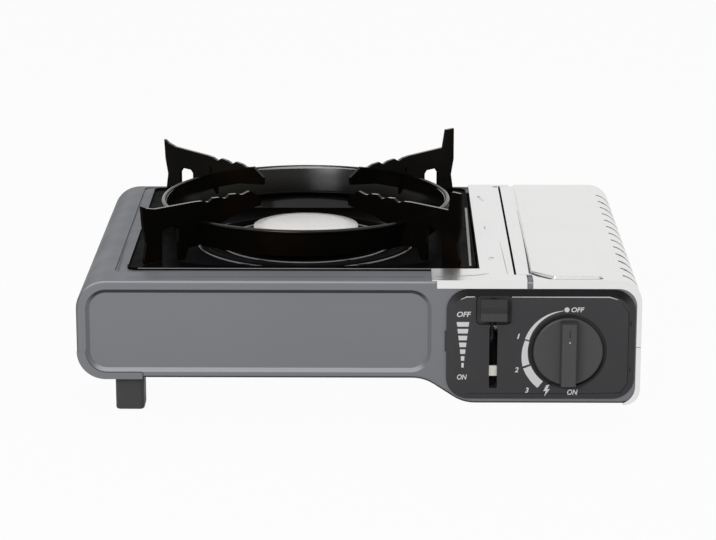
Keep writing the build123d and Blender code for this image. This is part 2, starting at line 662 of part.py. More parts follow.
def cam_slot(x0, x1):
    radius = CAM_PIN_R + CAM_PIN_RUN
    low = (CAM_PIN_Y, CAM_PIN_Z)
    high = (CAM_PIN_Y - CARRIAGE_STROKE, CAM_PIN_Z + cam_rise())
    lean = math.atan2(high[1] - low[1], high[0] - low[0])
    side = (-math.sin(lean) * radius, math.cos(lean) * radius)
    corners = [
        (low[0] + side[0], low[1] + side[1]), (high[0] + side[0], high[1] + side[1]),
        (high[0] - side[0], high[1] - side[1]), (low[0] - side[0], low[1] - side[1])]
    track = make_face(Polyline(corners, close=True))
    slot = extrude(Plane.YZ.offset(x0) * track, amount=x1 - x0)
    slot += rod((x0, low[0], low[1]), (x1, low[0], low[1]), radius)
    slot += rod((x0, high[0], high[1]), (x1, high[0], high[1]), radius)
    return slot


def make_lever_stop():
    back = FRONT_Y + SHEET
    top = STEM_TOP - STEM_HEIGHT - LEVER_TRAVEL - SEAT
    return block(SLOT_X - STOP_HALF, SLOT_X + STOP_HALF, back, back + STOP_SHEET,
                 top - STOP_HEIGHT, top)


def pan_floor():
    return RIGHT_FLOOR_Z + 2 * SHEET + FIT


def make_cartridge_carriage():
    floor = pan_floor() + RUNNER
    deck = floor + CARRIAGE_SHEET
    right = FLOOR_RIGHT
    arm_right = ARM_X + CARRIAGE_SHEET
    carriage = block(ARM_X, right, CARRIAGE_FRONT_Y, PUSHER_Y + CARRIAGE_SHEET, floor, deck)
    for x in (ARM_X, right - CARRIAGE_SHEET):
        carriage += block(x, x + CARRIAGE_SHEET, CARRIAGE_FRONT_Y, PUSHER_Y + CARRIAGE_SHEET,
                          pan_floor() + FIT, floor)
    carriage += block(ARM_X, arm_right, CAM_PIN_Y - 6, PUSHER_Y, floor + 8, ARM_TOP)
    carriage += block(ARM_X, arm_right, CARRIAGE_FRONT_Y, PUSHER_Y, floor, floor + 8)
    carriage += block(CARTRIDGE_X - 22, CARTRIDGE_X + 22, PUSHER_Y, PUSHER_Y + CARRIAGE_SHEET,
                      floor, CARTRIDGE_Z + 12)
    window = rounded_rectangle(CARRIAGE_FRONT_Y + 14, PUSHER_Y - 14, floor + 14, ARM_TOP - 8, 6)
    carriage -= extrude(Plane.YZ.offset(ARM_X - 1) * window, amount=CARRIAGE_SHEET + 2)
    return carriage


def make_carriage_pin():
    pin = rod((SLOT_X - CAM_THICK, CAM_PIN_Y, CAM_PIN_Z), (ARM_X, CAM_PIN_Y, CAM_PIN_Z), CAM_PIN_R)
    collar = rod((SLOT_X + CAM_THICK + 0.5, CAM_PIN_Y, CAM_PIN_Z), (ARM_X, CAM_PIN_Y, CAM_PIN_Z),
                 CAM_PIN_R + 1.5)
    return pin + collar


# ---------------------------------------------------------------- gas control
def socket_back_y():
    return SOCKET_MOUTH_Y - SOCKET_DEPTH - SOCKET_FLOOR


def regulator_front_y():
    return socket_back_y() - REGULATOR_LENGTH


def valve_front_y():
    return FRONT_Y + 9


def cartridge_rod(y0, y1, radius):
    return rod((CARTRIDGE_X, y0, CARTRIDGE_Z), (CARTRIDGE_X, y1, CARTRIDGE_Z), radius)


def make_cartridge_socket():
    back = socket_back_y()
    socket = cartridge_rod(back, SOCKET_MOUTH_Y, SOCKET_R)
    socket -= cartridge_rod(back + SOCKET_FLOOR, SOCKET_MOUTH_Y + 1, SOCKET_BORE_R)
    socket -= cartridge_rod(back - 1, SOCKET_MOUTH_Y, 5)
    socket += block(CARTRIDGE_X - 3, CARTRIDGE_X + 3, back, SOCKET_MOUTH_Y,
                    CARTRIDGE_Z + SOCKET_R - 1, CARTRIDGE_Z + SOCKET_R + 4)
    return socket


def make_inlet_seal():
    back = socket_back_y()
    return cartridge_rod(back, back + SOCKET_FLOOR, 5) - cartridge_rod(back - 1, back + 5, 2)


def make_regulator_body():
    front = regulator_front_y()
    back = socket_back_y()
    body = cartridge_rod(front, back, REGULATOR_R)
    body += block(CARTRIDGE_X - 12, CARTRIDGE_X + 12, front + 2, back - 2,
                  CARTRIDGE_Z, diaphragm_z())
    body += block(pipe_start_x(), CARTRIDGE_X, pipe_y() - 6, pipe_y() + 3, GAS_Z - 6, GAS_Z + 5)
    body -= rod((pipe_start_x() - 1, pipe_y(), GAS_Z), (pipe_start_x() + 6, pipe_y(), GAS_Z), PIPE_R)
    return body


def diaphragm_z():
    return CARTRIDGE_Z + REGULATOR_R + 3


def make_diaphragm_cover():
    y = socket_back_y() - SEAT - DIAPHRAGM_R
    z = diaphragm_z()
    cover = rod((CARTRIDGE_X, y, z), (CARTRIDGE_X, y, z + 3), DIAPHRAGM_R)
    cover += rod((CARTRIDGE_X, y, z + 3), (CARTRIDGE_X, y, z + 6), DIAPHRAGM_R - 4)
    return fillet(cover.faces().sort_by(Axis.Z)[-1].edges(), 1.5)


def make_valve_body():
    front = valve_front_y()
    back = regulator_front_y()
    body = block(KNOB_X - VALVE_HALF_WIDTH, KNOB_X + VALVE_HALF_WIDTH, front, back,
                 KNOB_Z - VALVE_HALF_HEIGHT, KNOB_Z + VALVE_HALF_HEIGHT)
    body = fillet(body.edges().filter_by(Axis.Y), 4)
    bore = rod((KNOB_X, front - 1, KNOB_Z), (KNOB_X, front + 6 + SEAT, KNOB_Z),
               SPINDLE_R + SPINDLE_RUN)
    return body - bore


def bracket_y():
    return regulator_front_y() - SEAT


def make_regulator_bracket():
    y = bracket_y()
    low = pan_floor() + FIT
    left = CARTRIDGE_X - 34
    upright = block(left, FLOOR_RIGHT, y - 1.2, y, low, CARTRIDGE_Z + REGULATOR_R - 2)
    half_width = VALVE_HALF_WIDTH + FIT
    half_height = VALVE_HALF_HEIGHT + FIT
    upright -= block(KNOB_X - half_width, KNOB_X + half_width, y - 2, y + 1,
                     KNOB_Z - half_height, KNOB_Z + half_height)
    foot = block(left, FLOOR_RIGHT, y - 12, y, low, low + 1.2)
    for x in bracket_screw_places():
        foot -= rod((x, y - 6.5, low - 1), (x, y - 6.5, low + 3), SCREW_R)
    return upright + foot


def bracket_screw_places():
    return [CARTRIDGE_X - 24, CARTRIDGE_X + 24]


def make_regulator_screws():
    y = bracket_y() - 6.5
    low = pan_floor() + FIT
    screws = []
    for x in bracket_screw_places():
        screw = rod((x, y, low), (x, y, low + 1.2), SCREW_R)
        screw += rod((x, y, low + 1.2), (x, y, low + 3.2), 2 * SCREW_R)
        screws.append(screw)
    return Compound(children=screws)


# ---------------------------------------------------------------- gas line
def pipe_y():
    return socket_back_y() - REGULATOR_LENGTH + 8


def pipe_start_x():
    return CARTRIDGE_X - REGULATOR_R - 5


def injector_x():
    return TRAY_X1 - INJECTOR_INSET


def pipe_route():
    """Out of the regulator, round the cam plate, then back to the burner."""
    turn_x = injector_x() + 20
    step_x = pipe_start_x() - 16
    step_y = pipe_y() + 16
    return [
        (pipe_start_x() + 6, pipe_y(), GAS_Z), (step_x, pipe_y(), GAS_Z),
        (step_x, step_y, GAS_Z), (turn_x, step_y, GAS_Z),
        (turn_x, BURNER_Y, GAS_Z), (injector_x() + 8, BURNER_Y, GAS_Z)]


def swept_tube(points, radii, radius):
    path = FilletPolyline(*points, radius=radii)
    start = Plane(origin=path @ 0, z_dir=path % 0)
    return sweep(start * Circle(radius), path=path)


def make_gas_pipe():
    points = pipe_route()
    path = FilletPolyline(*points, radius=7)
    start = Plane(origin=path @ 0, z_dir=path % 0)
    return sweep(start * (Circle(PIPE_R) - Circle(PIPE_R - PIPE_WALL)), path=path)


def make_pipe_nuts():
    start = pipe_start_x()
    y = pipe_y()
    first = tube((start - 7, y, GAS_Z), (start, y, GAS_Z), 5, PIPE_R)
    end = injector_x() + 8
    second = tube((end, BURNER_Y, GAS_Z), (end + 4, BURNER_Y, GAS_Z), 5, PIPE_R)
    return Compound(children=[first, second])


def make_injector():
    x = injector_x()
    body = rod((x, BURNER_Y, GAS_Z), (x + 8, BURNER_Y, GAS_Z), 5)
    body += rod((x - 5, BURNER_Y, GAS_Z), (x, BURNER_Y, GAS_Z), 2.6)
    return body - rod((x - 6, BURNER_Y, GAS_Z), (x + 6, BURNER_Y, GAS_Z), 0.6)


def make_mixing_tube():
    end = injector_x() - 1
    start = BURNER_X + HEAD_R - HEAD_WALL
    pipe = tube((start + HEAD_WALL + FIT, BURNER_Y, GAS_Z), (end, BURNER_Y, GAS_Z), TUBE_R,
                TUBE_R - TUBE_WALL)
    pipe -= block(end - 14, end - 5, BURNER_Y - TUBE_R - 1, BURNER_Y + TUBE_R + 1,
                  GAS_Z - 3, GAS_Z + 3)
    cap = tube((end, BURNER_Y, GAS_Z), (end + TUBE_WALL, BURNER_Y, GAS_Z), TUBE_R, 2.6 + FIT)
    return pipe + cap


def head_bottom_z():
    return CAP_TOP_Z - CAP_HEIGHT - HEAD_HEIGHT


def make_burner_head():
    low = head_bottom_z() - HEAD_CUP
    high = CAP_TOP_Z - CAP_HEIGHT
    head = rod((BURNER_X, BURNER_Y, low), (BURNER_X, BURNER_Y, high), HEAD_R)
    head -= rod((BURNER_X, BURNER_Y, low + HEAD_WALL), (BURNER_X, BURNER_Y, high + 1),
                HEAD_R - HEAD_WALL)
    head += tube((BURNER_X, BURNER_Y, high - PORT_HEIGHT - 3),
                 (BURNER_X, BURNER_Y, high - PORT_HEIGHT), HEAD_R + 2.5, HEAD_R - HEAD_WALL)
    for i in range(PORT_COUNT):
        turn = Pos(BURNER_X, BURNER_Y, 0) * Rot(0, 0, i * 360 / PORT_COUNT)
        cut = block(HEAD_R - HEAD_WALL - 1, HEAD_R + 1, -PORT_WIDTH / 2, PORT_WIDTH / 2,
                    high - PORT_HEIGHT, high + 1)
        head -= turn * cut
    head -= rod((BURNER_X + HEAD_R - HEAD_WALL - 2, BURNER_Y, GAS_Z),
                (BURNER_X + HEAD_R + 1, BURNER_Y, GAS_Z), TUBE_R - TUBE_WALL)
    return head


def make_burner_cap():
    low = CAP_TOP_Z - CAP_HEIGHT
    cap = rod((BURNER_X, BURNER_Y, low), (BURNER_X, BURNER_Y, CAP_TOP_Z), CAP_R)
    cap = fillet(cap.faces().sort_by(Axis.Z)[-1].edges(), CAP_EDGE_R)
    cap += Pos(BURNER_X, BURNER_Y, CAP_TOP_Z + CAP_CROWN / 2) * Cone(
        CAP_R - CAP_EDGE_R, CAP_R - CAP_BEVEL, CAP_CROWN)
    plug = rod((BURNER_X, BURNER_Y, low - 2), (BURNER_X, BURNER_Y, low),
               HEAD_R - HEAD_WALL - SEAT)
    return cap + plug


def make_burner_bracket():
    top = head_bottom_z() - HEAD_CUP
    low = LEFT_FLOOR_Z + 2 * SHEET + FIT
    half = BRACKET_HALF
    deep = BRACKET_DEPTH / 2
    sheet = BRACKET_SHEET
    saddle = block(BURNER_X - half, BURNER_X + half, BURNER_Y - deep, BURNER_Y + deep, top - sheet, top)
    for x, way in ((BURNER_X - half, -1), (BURNER_X + half, 1)):
        saddle += block(x - sheet / 2, x + sheet / 2, BURNER_Y - deep, BURNER_Y + deep, low, top)
        saddle += block(x, x + way * BRACKET_FOOT, BURNER_Y - deep, BURNER_Y + deep,
                        low, low + sheet)
        hole = x + way * BRACKET_HOLE
        saddle -= rod((hole, BURNER_Y, low - 1), (hole, BURNER_Y, low + 3), SCREW_R)
    return saddle


def make_burner_screws():
    low = LEFT_FLOOR_Z + 2 * SHEET + FIT
    screws = []
    reach = BRACKET_HALF + BRACKET_HOLE
    for x in (BURNER_X - reach, BURNER_X + reach):
        seat = low + BRACKET_SHEET
        screw = rod((x, BURNER_Y, low), (x, BURNER_Y, seat), SCREW_R)
        screw += rod((x, BURNER_Y, seat), (x, BURNER_Y, seat + 2), 2 * SCREW_R)
        screws.append(screw)
    return Compound(children=screws)


# ---------------------------------------------------------------- ignition
def electrode_place():
    reach = CAP_R + INSULATOR_R + 1.5
    return (BURNER_X + reach * math.cos(ELECTRODE_ANGLE),
            BURNER_Y + reach * math.sin(ELECTRODE_ANGLE))


def make_electrode_insulator():
    x, y = electrode_place()
    return tube((x, y, CAP_TOP_Z - 25), (x, y, CAP_TOP_Z - 6), INSULATOR_R, ELECTRODE_R)


def make_spark_electrode():
    x, y = electrode_place()
    pin = rod((x, y, CAP_TOP_Z - 29), (x, y, CAP_TOP_Z - 2), ELECTRODE_R)
    return pin


def make_electrode_clip():
    x, y = electrode_place()
    z = CAP_TOP_Z - 22
    clip = block(x - 5, x + 5, BURNER_Y + 10, y + 5, z, z + 1.2)
    clip -= rod((x, y, z - 1), (x, y, z + 3), INSULATOR_R)
    clip -= rod((BURNER_X, BURNER_Y, z - 1), (BURNER_X, BURNER_Y, z + 3), HEAD_R)
    return clip


def igniter_box():
    """Limits of the igniter's housing: left, right, front, rear, bottom, top."""
    left = SLOT_X + STOP_HALF + IGNITER_SIDE
    low = KNOB_Z - IGNITER_DROP
    return (left, left + IGNITER_WIDTH, FRONT_Y + SHEET + 1.2, FRONT_Y + IGNITER_REACH,
            low, low + IGNITER_WIDTH)


def make_piezo_igniter():
    x0, x1, y0, y1, z0, z1 = igniter_box()
    body = fillet(block(x0, x1, y0, y1, z0, z1).edges().filter_by(Axis.Y), 2)
    plate_back = block(x0 - 3, x1 + 3, FRONT_Y + SHEET, y0, z0, z1)
    return body + plate_back


def lead_route():
    x0, x1, y0, y1, z0, z1 = igniter_box()
    x, y = electrode_place()
    z = (z0 + z1) / 2
    end_z = CAP_TOP_Z - 29
    return [
        (x0, y1 - 5, z), (x0 - 25, y1 - 5, z), (x0 - 34, y1 + 10, z + 4),
        (x0 - 40, y1 + 40, z + 8), (BURNER_X + 74.5, BURNER_Y - 20, z + 9),
        (BURNER_X + 64.5, BURNER_Y + 14, z + 10), (x + 20, y + 6, z + 10),
        (x, y, z + 12), (x, y, end_z)]


def make_ignition_lead():
    points = [Vector(*p) for p in lead_route()]
    runs = [b - a for a, b in zip(points, points[1:])]
    radii = []
    for before, after in zip(runs, runs[1:]):
        turn = math.radians(before.get_angle(after))
        radii.append(0.45 * min(before.length, after.length) / math.tan(turn / 2))
    return swept_tube(lead_route(), radii, 1.2)


# ---------------------------------------------------------------- drip tray and pan support
def make_drip_tray():
    low = LEDGE_Z + FIT
    rim_outline = rounded_rectangle(TRAY_X0, TRAY_X1, TRAY_Y0, TRAY_Y1, TRAY_R)
    rim_inside = rounded_rectangle(
        TRAY_X0 + TRAY_LIP, TRAY_X1 - TRAY_LIP, TRAY_Y0 + TRAY_LIP, TRAY_Y1 - TRAY_LIP,
        TRAY_R - TRAY_LIP)
    top = low + TRAY_SHEET
    tray = plate(rim_outline, low, top + TRAY_LIP) - plate(rim_inside, top, top + TRAY_LIP + 1)
    inset = TRAY_FLANGE + DECK_LIP
    well = rounded_rectangle(TRAY_X0 + inset, TRAY_X1 - inset, TRAY_Y0 + inset, TRAY_Y1 - inset,
                             WELL_CORNER_R)
    outer = extrude(Plane.XY.offset(top) * offset(well, amount=TRAY_SHEET),
                    amount=-(top - TRAY_FLOOR_Z + TRAY_SHEET), taper=WELL_SLOPE)
    inner = extrude(Plane.XY.offset(top) * well, amount=-(top - TRAY_FLOOR_Z), taper=WELL_SLOPE)
    tray += outer
    tray -= inner
    centre = Pos(BURNER_X, BURNER_Y, 0)
    bead = [(BEAD_R + 5, TRAY_FLOOR_Z), (BEAD_R + 1, TRAY_FLOOR_Z + BEAD_HEIGHT),
            (BEAD_R - 3, TRAY_FLOOR_Z + BEAD_HEIGHT), (BEAD_R - 7, TRAY_FLOOR_Z)]
    tray += centre * revolve(Plane.XZ * make_face(Polyline(bead, close=True)), Axis.Z)
    x, y = BURNER_X, BURNER_Y
    tray += tube((x, y, TRAY_FLOOR_Z - TRAY_SHEET), (x, y, TRAY_FLOOR_Z + TRAY_COLLAR),
                 TRAY_HOLE_R + TRAY_SHEET, TRAY_HOLE_R)
    tray -= rod((x, y, 0), (x, y, DECK_Z), TRAY_HOLE_R)
    return tray


def make_support_ring():
    lean = (RING_RIM_R - RIM_BEAD_R - RING_FOOT_R) / (RING_RIM_Z - RIM_BEAD_R - RING_FOOT_Z)
    high_r = RING_RIM_R - RIM_BEAD_R
    high_z = RING_RIM_Z - RIM_BEAD_R
    wall = Polyline([
        (RING_FOOT_R, RING_FOOT_Z), (RING_FOOT_R + RING_SHEET, RING_FOOT_Z),
        (high_r, high_z), (high_r - RING_SHEET, high_z)], close=True)
    profile = make_face(wall) + Pos(high_r, high_z) * Circle(RIM_BEAD_R)
    profile += Pos(RING_FOOT_R + lean, RING_FOOT_Z + 1) * Circle(RIM_BEAD_R * 0.8)
    return Pos(BURNER_X, BURNER_Y, 0) * revolve(Plane.XZ * profile, Axis.Z)


def wing_outline(horned):
    """The wing plate as radius from the burner's axis and height above the deck."""
    top = WING_TOP
    outline_points = [(WING_INNER_R + 0.5, 21.5), (WING_INNER_R, 26.5), (TEETH_START_R, top - 0.6)]
    for i in range(TOOTH_COUNT):
        notch = TEETH_START_R + 6.5 + i * TOOTH_PITCH
        outline_points += [(notch - 1, top - TOOTH_DEPTH), (notch + 0.8, top - TOOTH_DEPTH),
                           (notch + 5, top - 0.5), (notch + TOOTH_PITCH - 4, top)]
    if horned:
        outline_points += [(WING_OUTER_R - 10, top + 0.6),
                           (WING_OUTER_R - HORN_WIDTH, top + HORN_HEIGHT),
                           (WING_OUTER_R, top + HORN_HEIGHT)]
    else:
        outline_points += [(WING_OUTER_R - 10, top + 0.8), (WING_OUTER_R - 3, top + 2.4),
                           (WING_OUTER_R + 1, top + TIP_HEIGHT)]
    outline_points += [
        (WING_OUTER_R, 24), (WING_OUTER_R - WAIST, 13.5), (WING_OUTER_R - 0.6, 3),
        (WING_OUTER_R - 0.6, 0), (ARCH_OUT_R, 0), (ARCH_OUT_R, ARCH_TOP - 3),
        (ARCH_OUT_R - 2.5, ARCH_TOP), (ARCH_IN_R + ARCH_CORNER, ARCH_TOP),
        (ARCH_IN_R, ARCH_TOP - ARCH_CORNER), (ARCH_IN_R, -INNER_LEG_DROP),
        (ARCH_IN_R - INNER_LEG_WIDTH, -INNER_LEG_DROP), (ARCH_IN_R - INNER_LEG_WIDTH - 3, 4),
        (RING_FOOT_R + 2, 4.5), (RING_FOOT_R + 1.6, 12), (RING_FOOT_R - 21, 18.5)]
    return outline_points


def tray_top():
    return LEDGE_Z + FIT + TRAY_SHEET


def make_wing(angle, horned, ring):
    points = [(r, tray_top() + SEAT + h) for r, h in wing_outline(horned)]
    face = make_face(Polyline(points, close=True))
    wing = extrude(Plane.XZ.offset(-WING_SHEET / 2) * face, amount=WING_SHEET)
    wing = Pos(BURNER_X, BURNER_Y, 0) * Rot(0, 0, angle) * wing
    return wing - ring


def make_wing_studs(ring):
    studs = []
    for angle in (45, 135, 225, 315):
        turn = Pos(BURNER_X, BURNER_Y, 0) * Rot(0, 0, angle)
        for way in (-1, 1):
            y = way * WING_SHEET / 2
            stud = rod((RING_RIM_R + 0.4, y, RING_RIM_Z + 2.6),
                       (RING_RIM_R + 0.4, y + way * STUD_PROUD, RING_RIM_Z + 2.6), STUD_R)
            studs.append(turn * stud)
    return Compound(children=studs)


# ---------------------------------------------------------------- feet
def foot_points():
    """Centre of each foot, and the height of the floor it carries."""
    half = FOOT_SIZE / 2
    return [
        (FOOT_X, FRONT_Y + FOOT_INSET + half, LEFT_FLOOR_Z),
        (FOOT_X, REAR_Y - FOOT_INSET - half, LEFT_FLOOR_Z),
        (RIGHT_FOOT_X, FRONT_Y + RIGHT_FOOT_INSET + half, RIGHT_FLOOR_Z),
        (RIGHT_FOOT_X, REAR_Y - RIGHT_FOOT_INSET - half, RIGHT_FLOOR_Z)]


def make_foot(x, y, floor):
    half = FOOT_SIZE / 2
    top = floor + SHEET + FIT
    foot = block(x - half, x + half, y - half, y + half, 0, top)
    foot = fillet(foot.edges().filter_by(Axis.Z), FOOT_R)
    foot = fillet(foot.faces().sort_by(Axis.Z)[0].edges(), 1.5)
    return foot - rod((x, y, top - 4), (x, y, top + 1), SCREW_R)


def make_foot_screws():
    screws = []
    for x, y, floor in foot_points():
        top = floor + 2 * SHEET + FIT
        screw = rod((x, y, floor + SHEET + FIT - 4), (x, y, top), SCREW_R)
        screw += rod((x, y, top), (x, y, top + 0.9), 2 * SCREW_R)
        screws.append(screw)
    return Compound(children=screws)


# ---------------------------------------------------------------- all parts
ring = make_support_ring()
feet = [make_foot(*point) for point in foot_points()]
parts = {
    "outer_shell": make_outer_shell(),
    "base_pan": make_base_pan(),
    "side_panel": make_side_panel(),
    "bridge_cover": make_bridge_cover(),
    "heat_shield": make_heat_shield(),
    "lid": make_lid(),
    "lid_hinge_pins": make_lid_hinge_pins(),
    "control_panel": make_control_panel(),
    "panel_screws": make_panel_screws(),
    "control_knob": make_control_knob(),
    "valve_spindle": make_valve_spindle(),
    "valve_body": make_valve_body(),
    "regulator_body": make_regulator_body(),
    "diaphragm_cover": make_diaphragm_cover(),
    "cartridge_socket": make_cartridge_socket(),
    "inlet_seal": make_inlet_seal(),
    "regulator_bracket": make_regulator_bracket(),
    "regulator_screws": make_regulator_screws(),
    "lock_lever_button": make_lock_lever_button(),
    "lock_lever_plate": make_lock_lever_plate(),
    "lever_stop": make_lever_stop(),
    "cartridge_carriage": make_cartridge_carriage(),
    "carriage_pin": make_carriage_pin(),
    "gas_pipe": make_gas_pipe(),
    "pipe_nuts": make_pipe_nuts(),
    "injector": make_injector(),
    "mixing_tube": make_mixing_tube(),
    "burner_head": make_burner_head(),
    "burner_cap": make_burner_cap(),
    "burner_bracket": make_burner_bracket(),
    "burner_screws": make_burner_screws(),
    "electrode_insulator": make_electrode_insulator(),
    "spark_electrode": make_spark_electrode(),
    "electrode_clip": make_electrode_clip(),
    "piezo_igniter": make_piezo_igniter(),
    "ignition_lead": make_ignition_lead(),
    "drip_tray": make_drip_tray(),
    "support_ring": ring,
    "rear_right_wing": make_wing(45, True, ring),
    "rear_left_wing": make_wing(135, False, ring),
    "front_left_wing": make_wing(225, False, ring),
    "front_right_wing": make_wing(315, True, ring),
    "wing_studs": make_wing_studs(ring),
    "front_left_foot": feet[0],
    "rear_left_foot": feet[1],
    "front_right_foot": feet[2],
    "rear_right_foot": feet[3],
    "foot_screws": make_foot_screws(),
}

os.makedirs("parts", exist_ok=True)
for name, solid in parts.items():
    export_step(solid, f"parts/{name}.step")
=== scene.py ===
"""Table stove for a gas cartridge: looks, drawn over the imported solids."""

import json
import logging
import math
from dataclasses import dataclass
from enum import Enum
from typing import Any, Callable, Sequence

import bmesh
import bpy
from mathutils import Euler, Matrix, Vector

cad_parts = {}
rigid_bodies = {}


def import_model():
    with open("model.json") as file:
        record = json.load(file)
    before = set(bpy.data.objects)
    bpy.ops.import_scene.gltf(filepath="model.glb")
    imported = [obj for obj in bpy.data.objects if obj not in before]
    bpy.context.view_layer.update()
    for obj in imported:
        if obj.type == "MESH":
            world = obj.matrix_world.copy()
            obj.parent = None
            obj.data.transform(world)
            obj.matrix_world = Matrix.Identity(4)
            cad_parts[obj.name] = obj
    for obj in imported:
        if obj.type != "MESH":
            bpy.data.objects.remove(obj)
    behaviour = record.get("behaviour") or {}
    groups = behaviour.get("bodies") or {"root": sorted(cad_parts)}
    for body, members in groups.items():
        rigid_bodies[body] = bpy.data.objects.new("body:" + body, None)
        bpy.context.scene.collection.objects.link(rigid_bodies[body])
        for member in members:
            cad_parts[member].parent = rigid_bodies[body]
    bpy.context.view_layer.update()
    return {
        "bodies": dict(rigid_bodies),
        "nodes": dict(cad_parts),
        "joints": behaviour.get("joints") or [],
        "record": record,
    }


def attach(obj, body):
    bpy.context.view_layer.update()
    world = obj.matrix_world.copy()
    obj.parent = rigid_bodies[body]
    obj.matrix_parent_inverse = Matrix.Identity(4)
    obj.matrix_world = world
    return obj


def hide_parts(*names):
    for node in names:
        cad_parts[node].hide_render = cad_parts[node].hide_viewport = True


LOG = logging.getLogger("table_stove")
MM = 0.001
SAME_POINT = 1e-7
SAME_CORNER = 2e-6

Colour = tuple[float, float, float]
Point = tuple[float, float, float]
Spot = tuple[float, float]
Made = list[tuple[bpy.types.Object, str]]

UP: Point = (0.0, 0.0, 1.0)
FORWARD: Point = (0.0, -1.0, 0.0)


# ------------------------------------------------------------------ shader maths
class Shade:
    """A shader socket that takes arithmetic."""

    def __init__(self, board: "ShaderBoard", socket: bpy.types.NodeSocket) -> None:
        """Wraps one output socket of a board."""
        self.board = board
        self.socket = socket

    def _math(self, operation: str, *values: Any) -> "Shade":
        """Adds one Math node and returns its result."""
        return self.board.out("ShaderNodeMath", {"operation": operation}, dict(enumerate(values)))

    def __add__(self, other: Any) -> "Shade":
        """Sum."""
        return self._math("ADD", self, other)

    __radd__ = __add__

    def __mul__(self, other: Any) -> "Shade":
        """Product."""
        return self._math("MULTIPLY", self, other)

    __rmul__ = __mul__

    def __sub__(self, other: Any) -> "Shade":
        """Difference."""
        return self._math("SUBTRACT", self, other)

    def __rsub__(self, other: Any) -> "Shade":
        """Difference from a number."""
        return self._math("SUBTRACT", other, self)

    def __neg__(self) -> "Shade":
        """Same size, other sign."""
        return self * -1.0

    def least(self, other: Any) -> "Shade":
        """Smaller of two values."""
        return self._math("MINIMUM", self, other)

    def greatest(self, other: Any) -> "Shade":
        """Larger of two values."""
        return self._math("MAXIMUM", self, other)


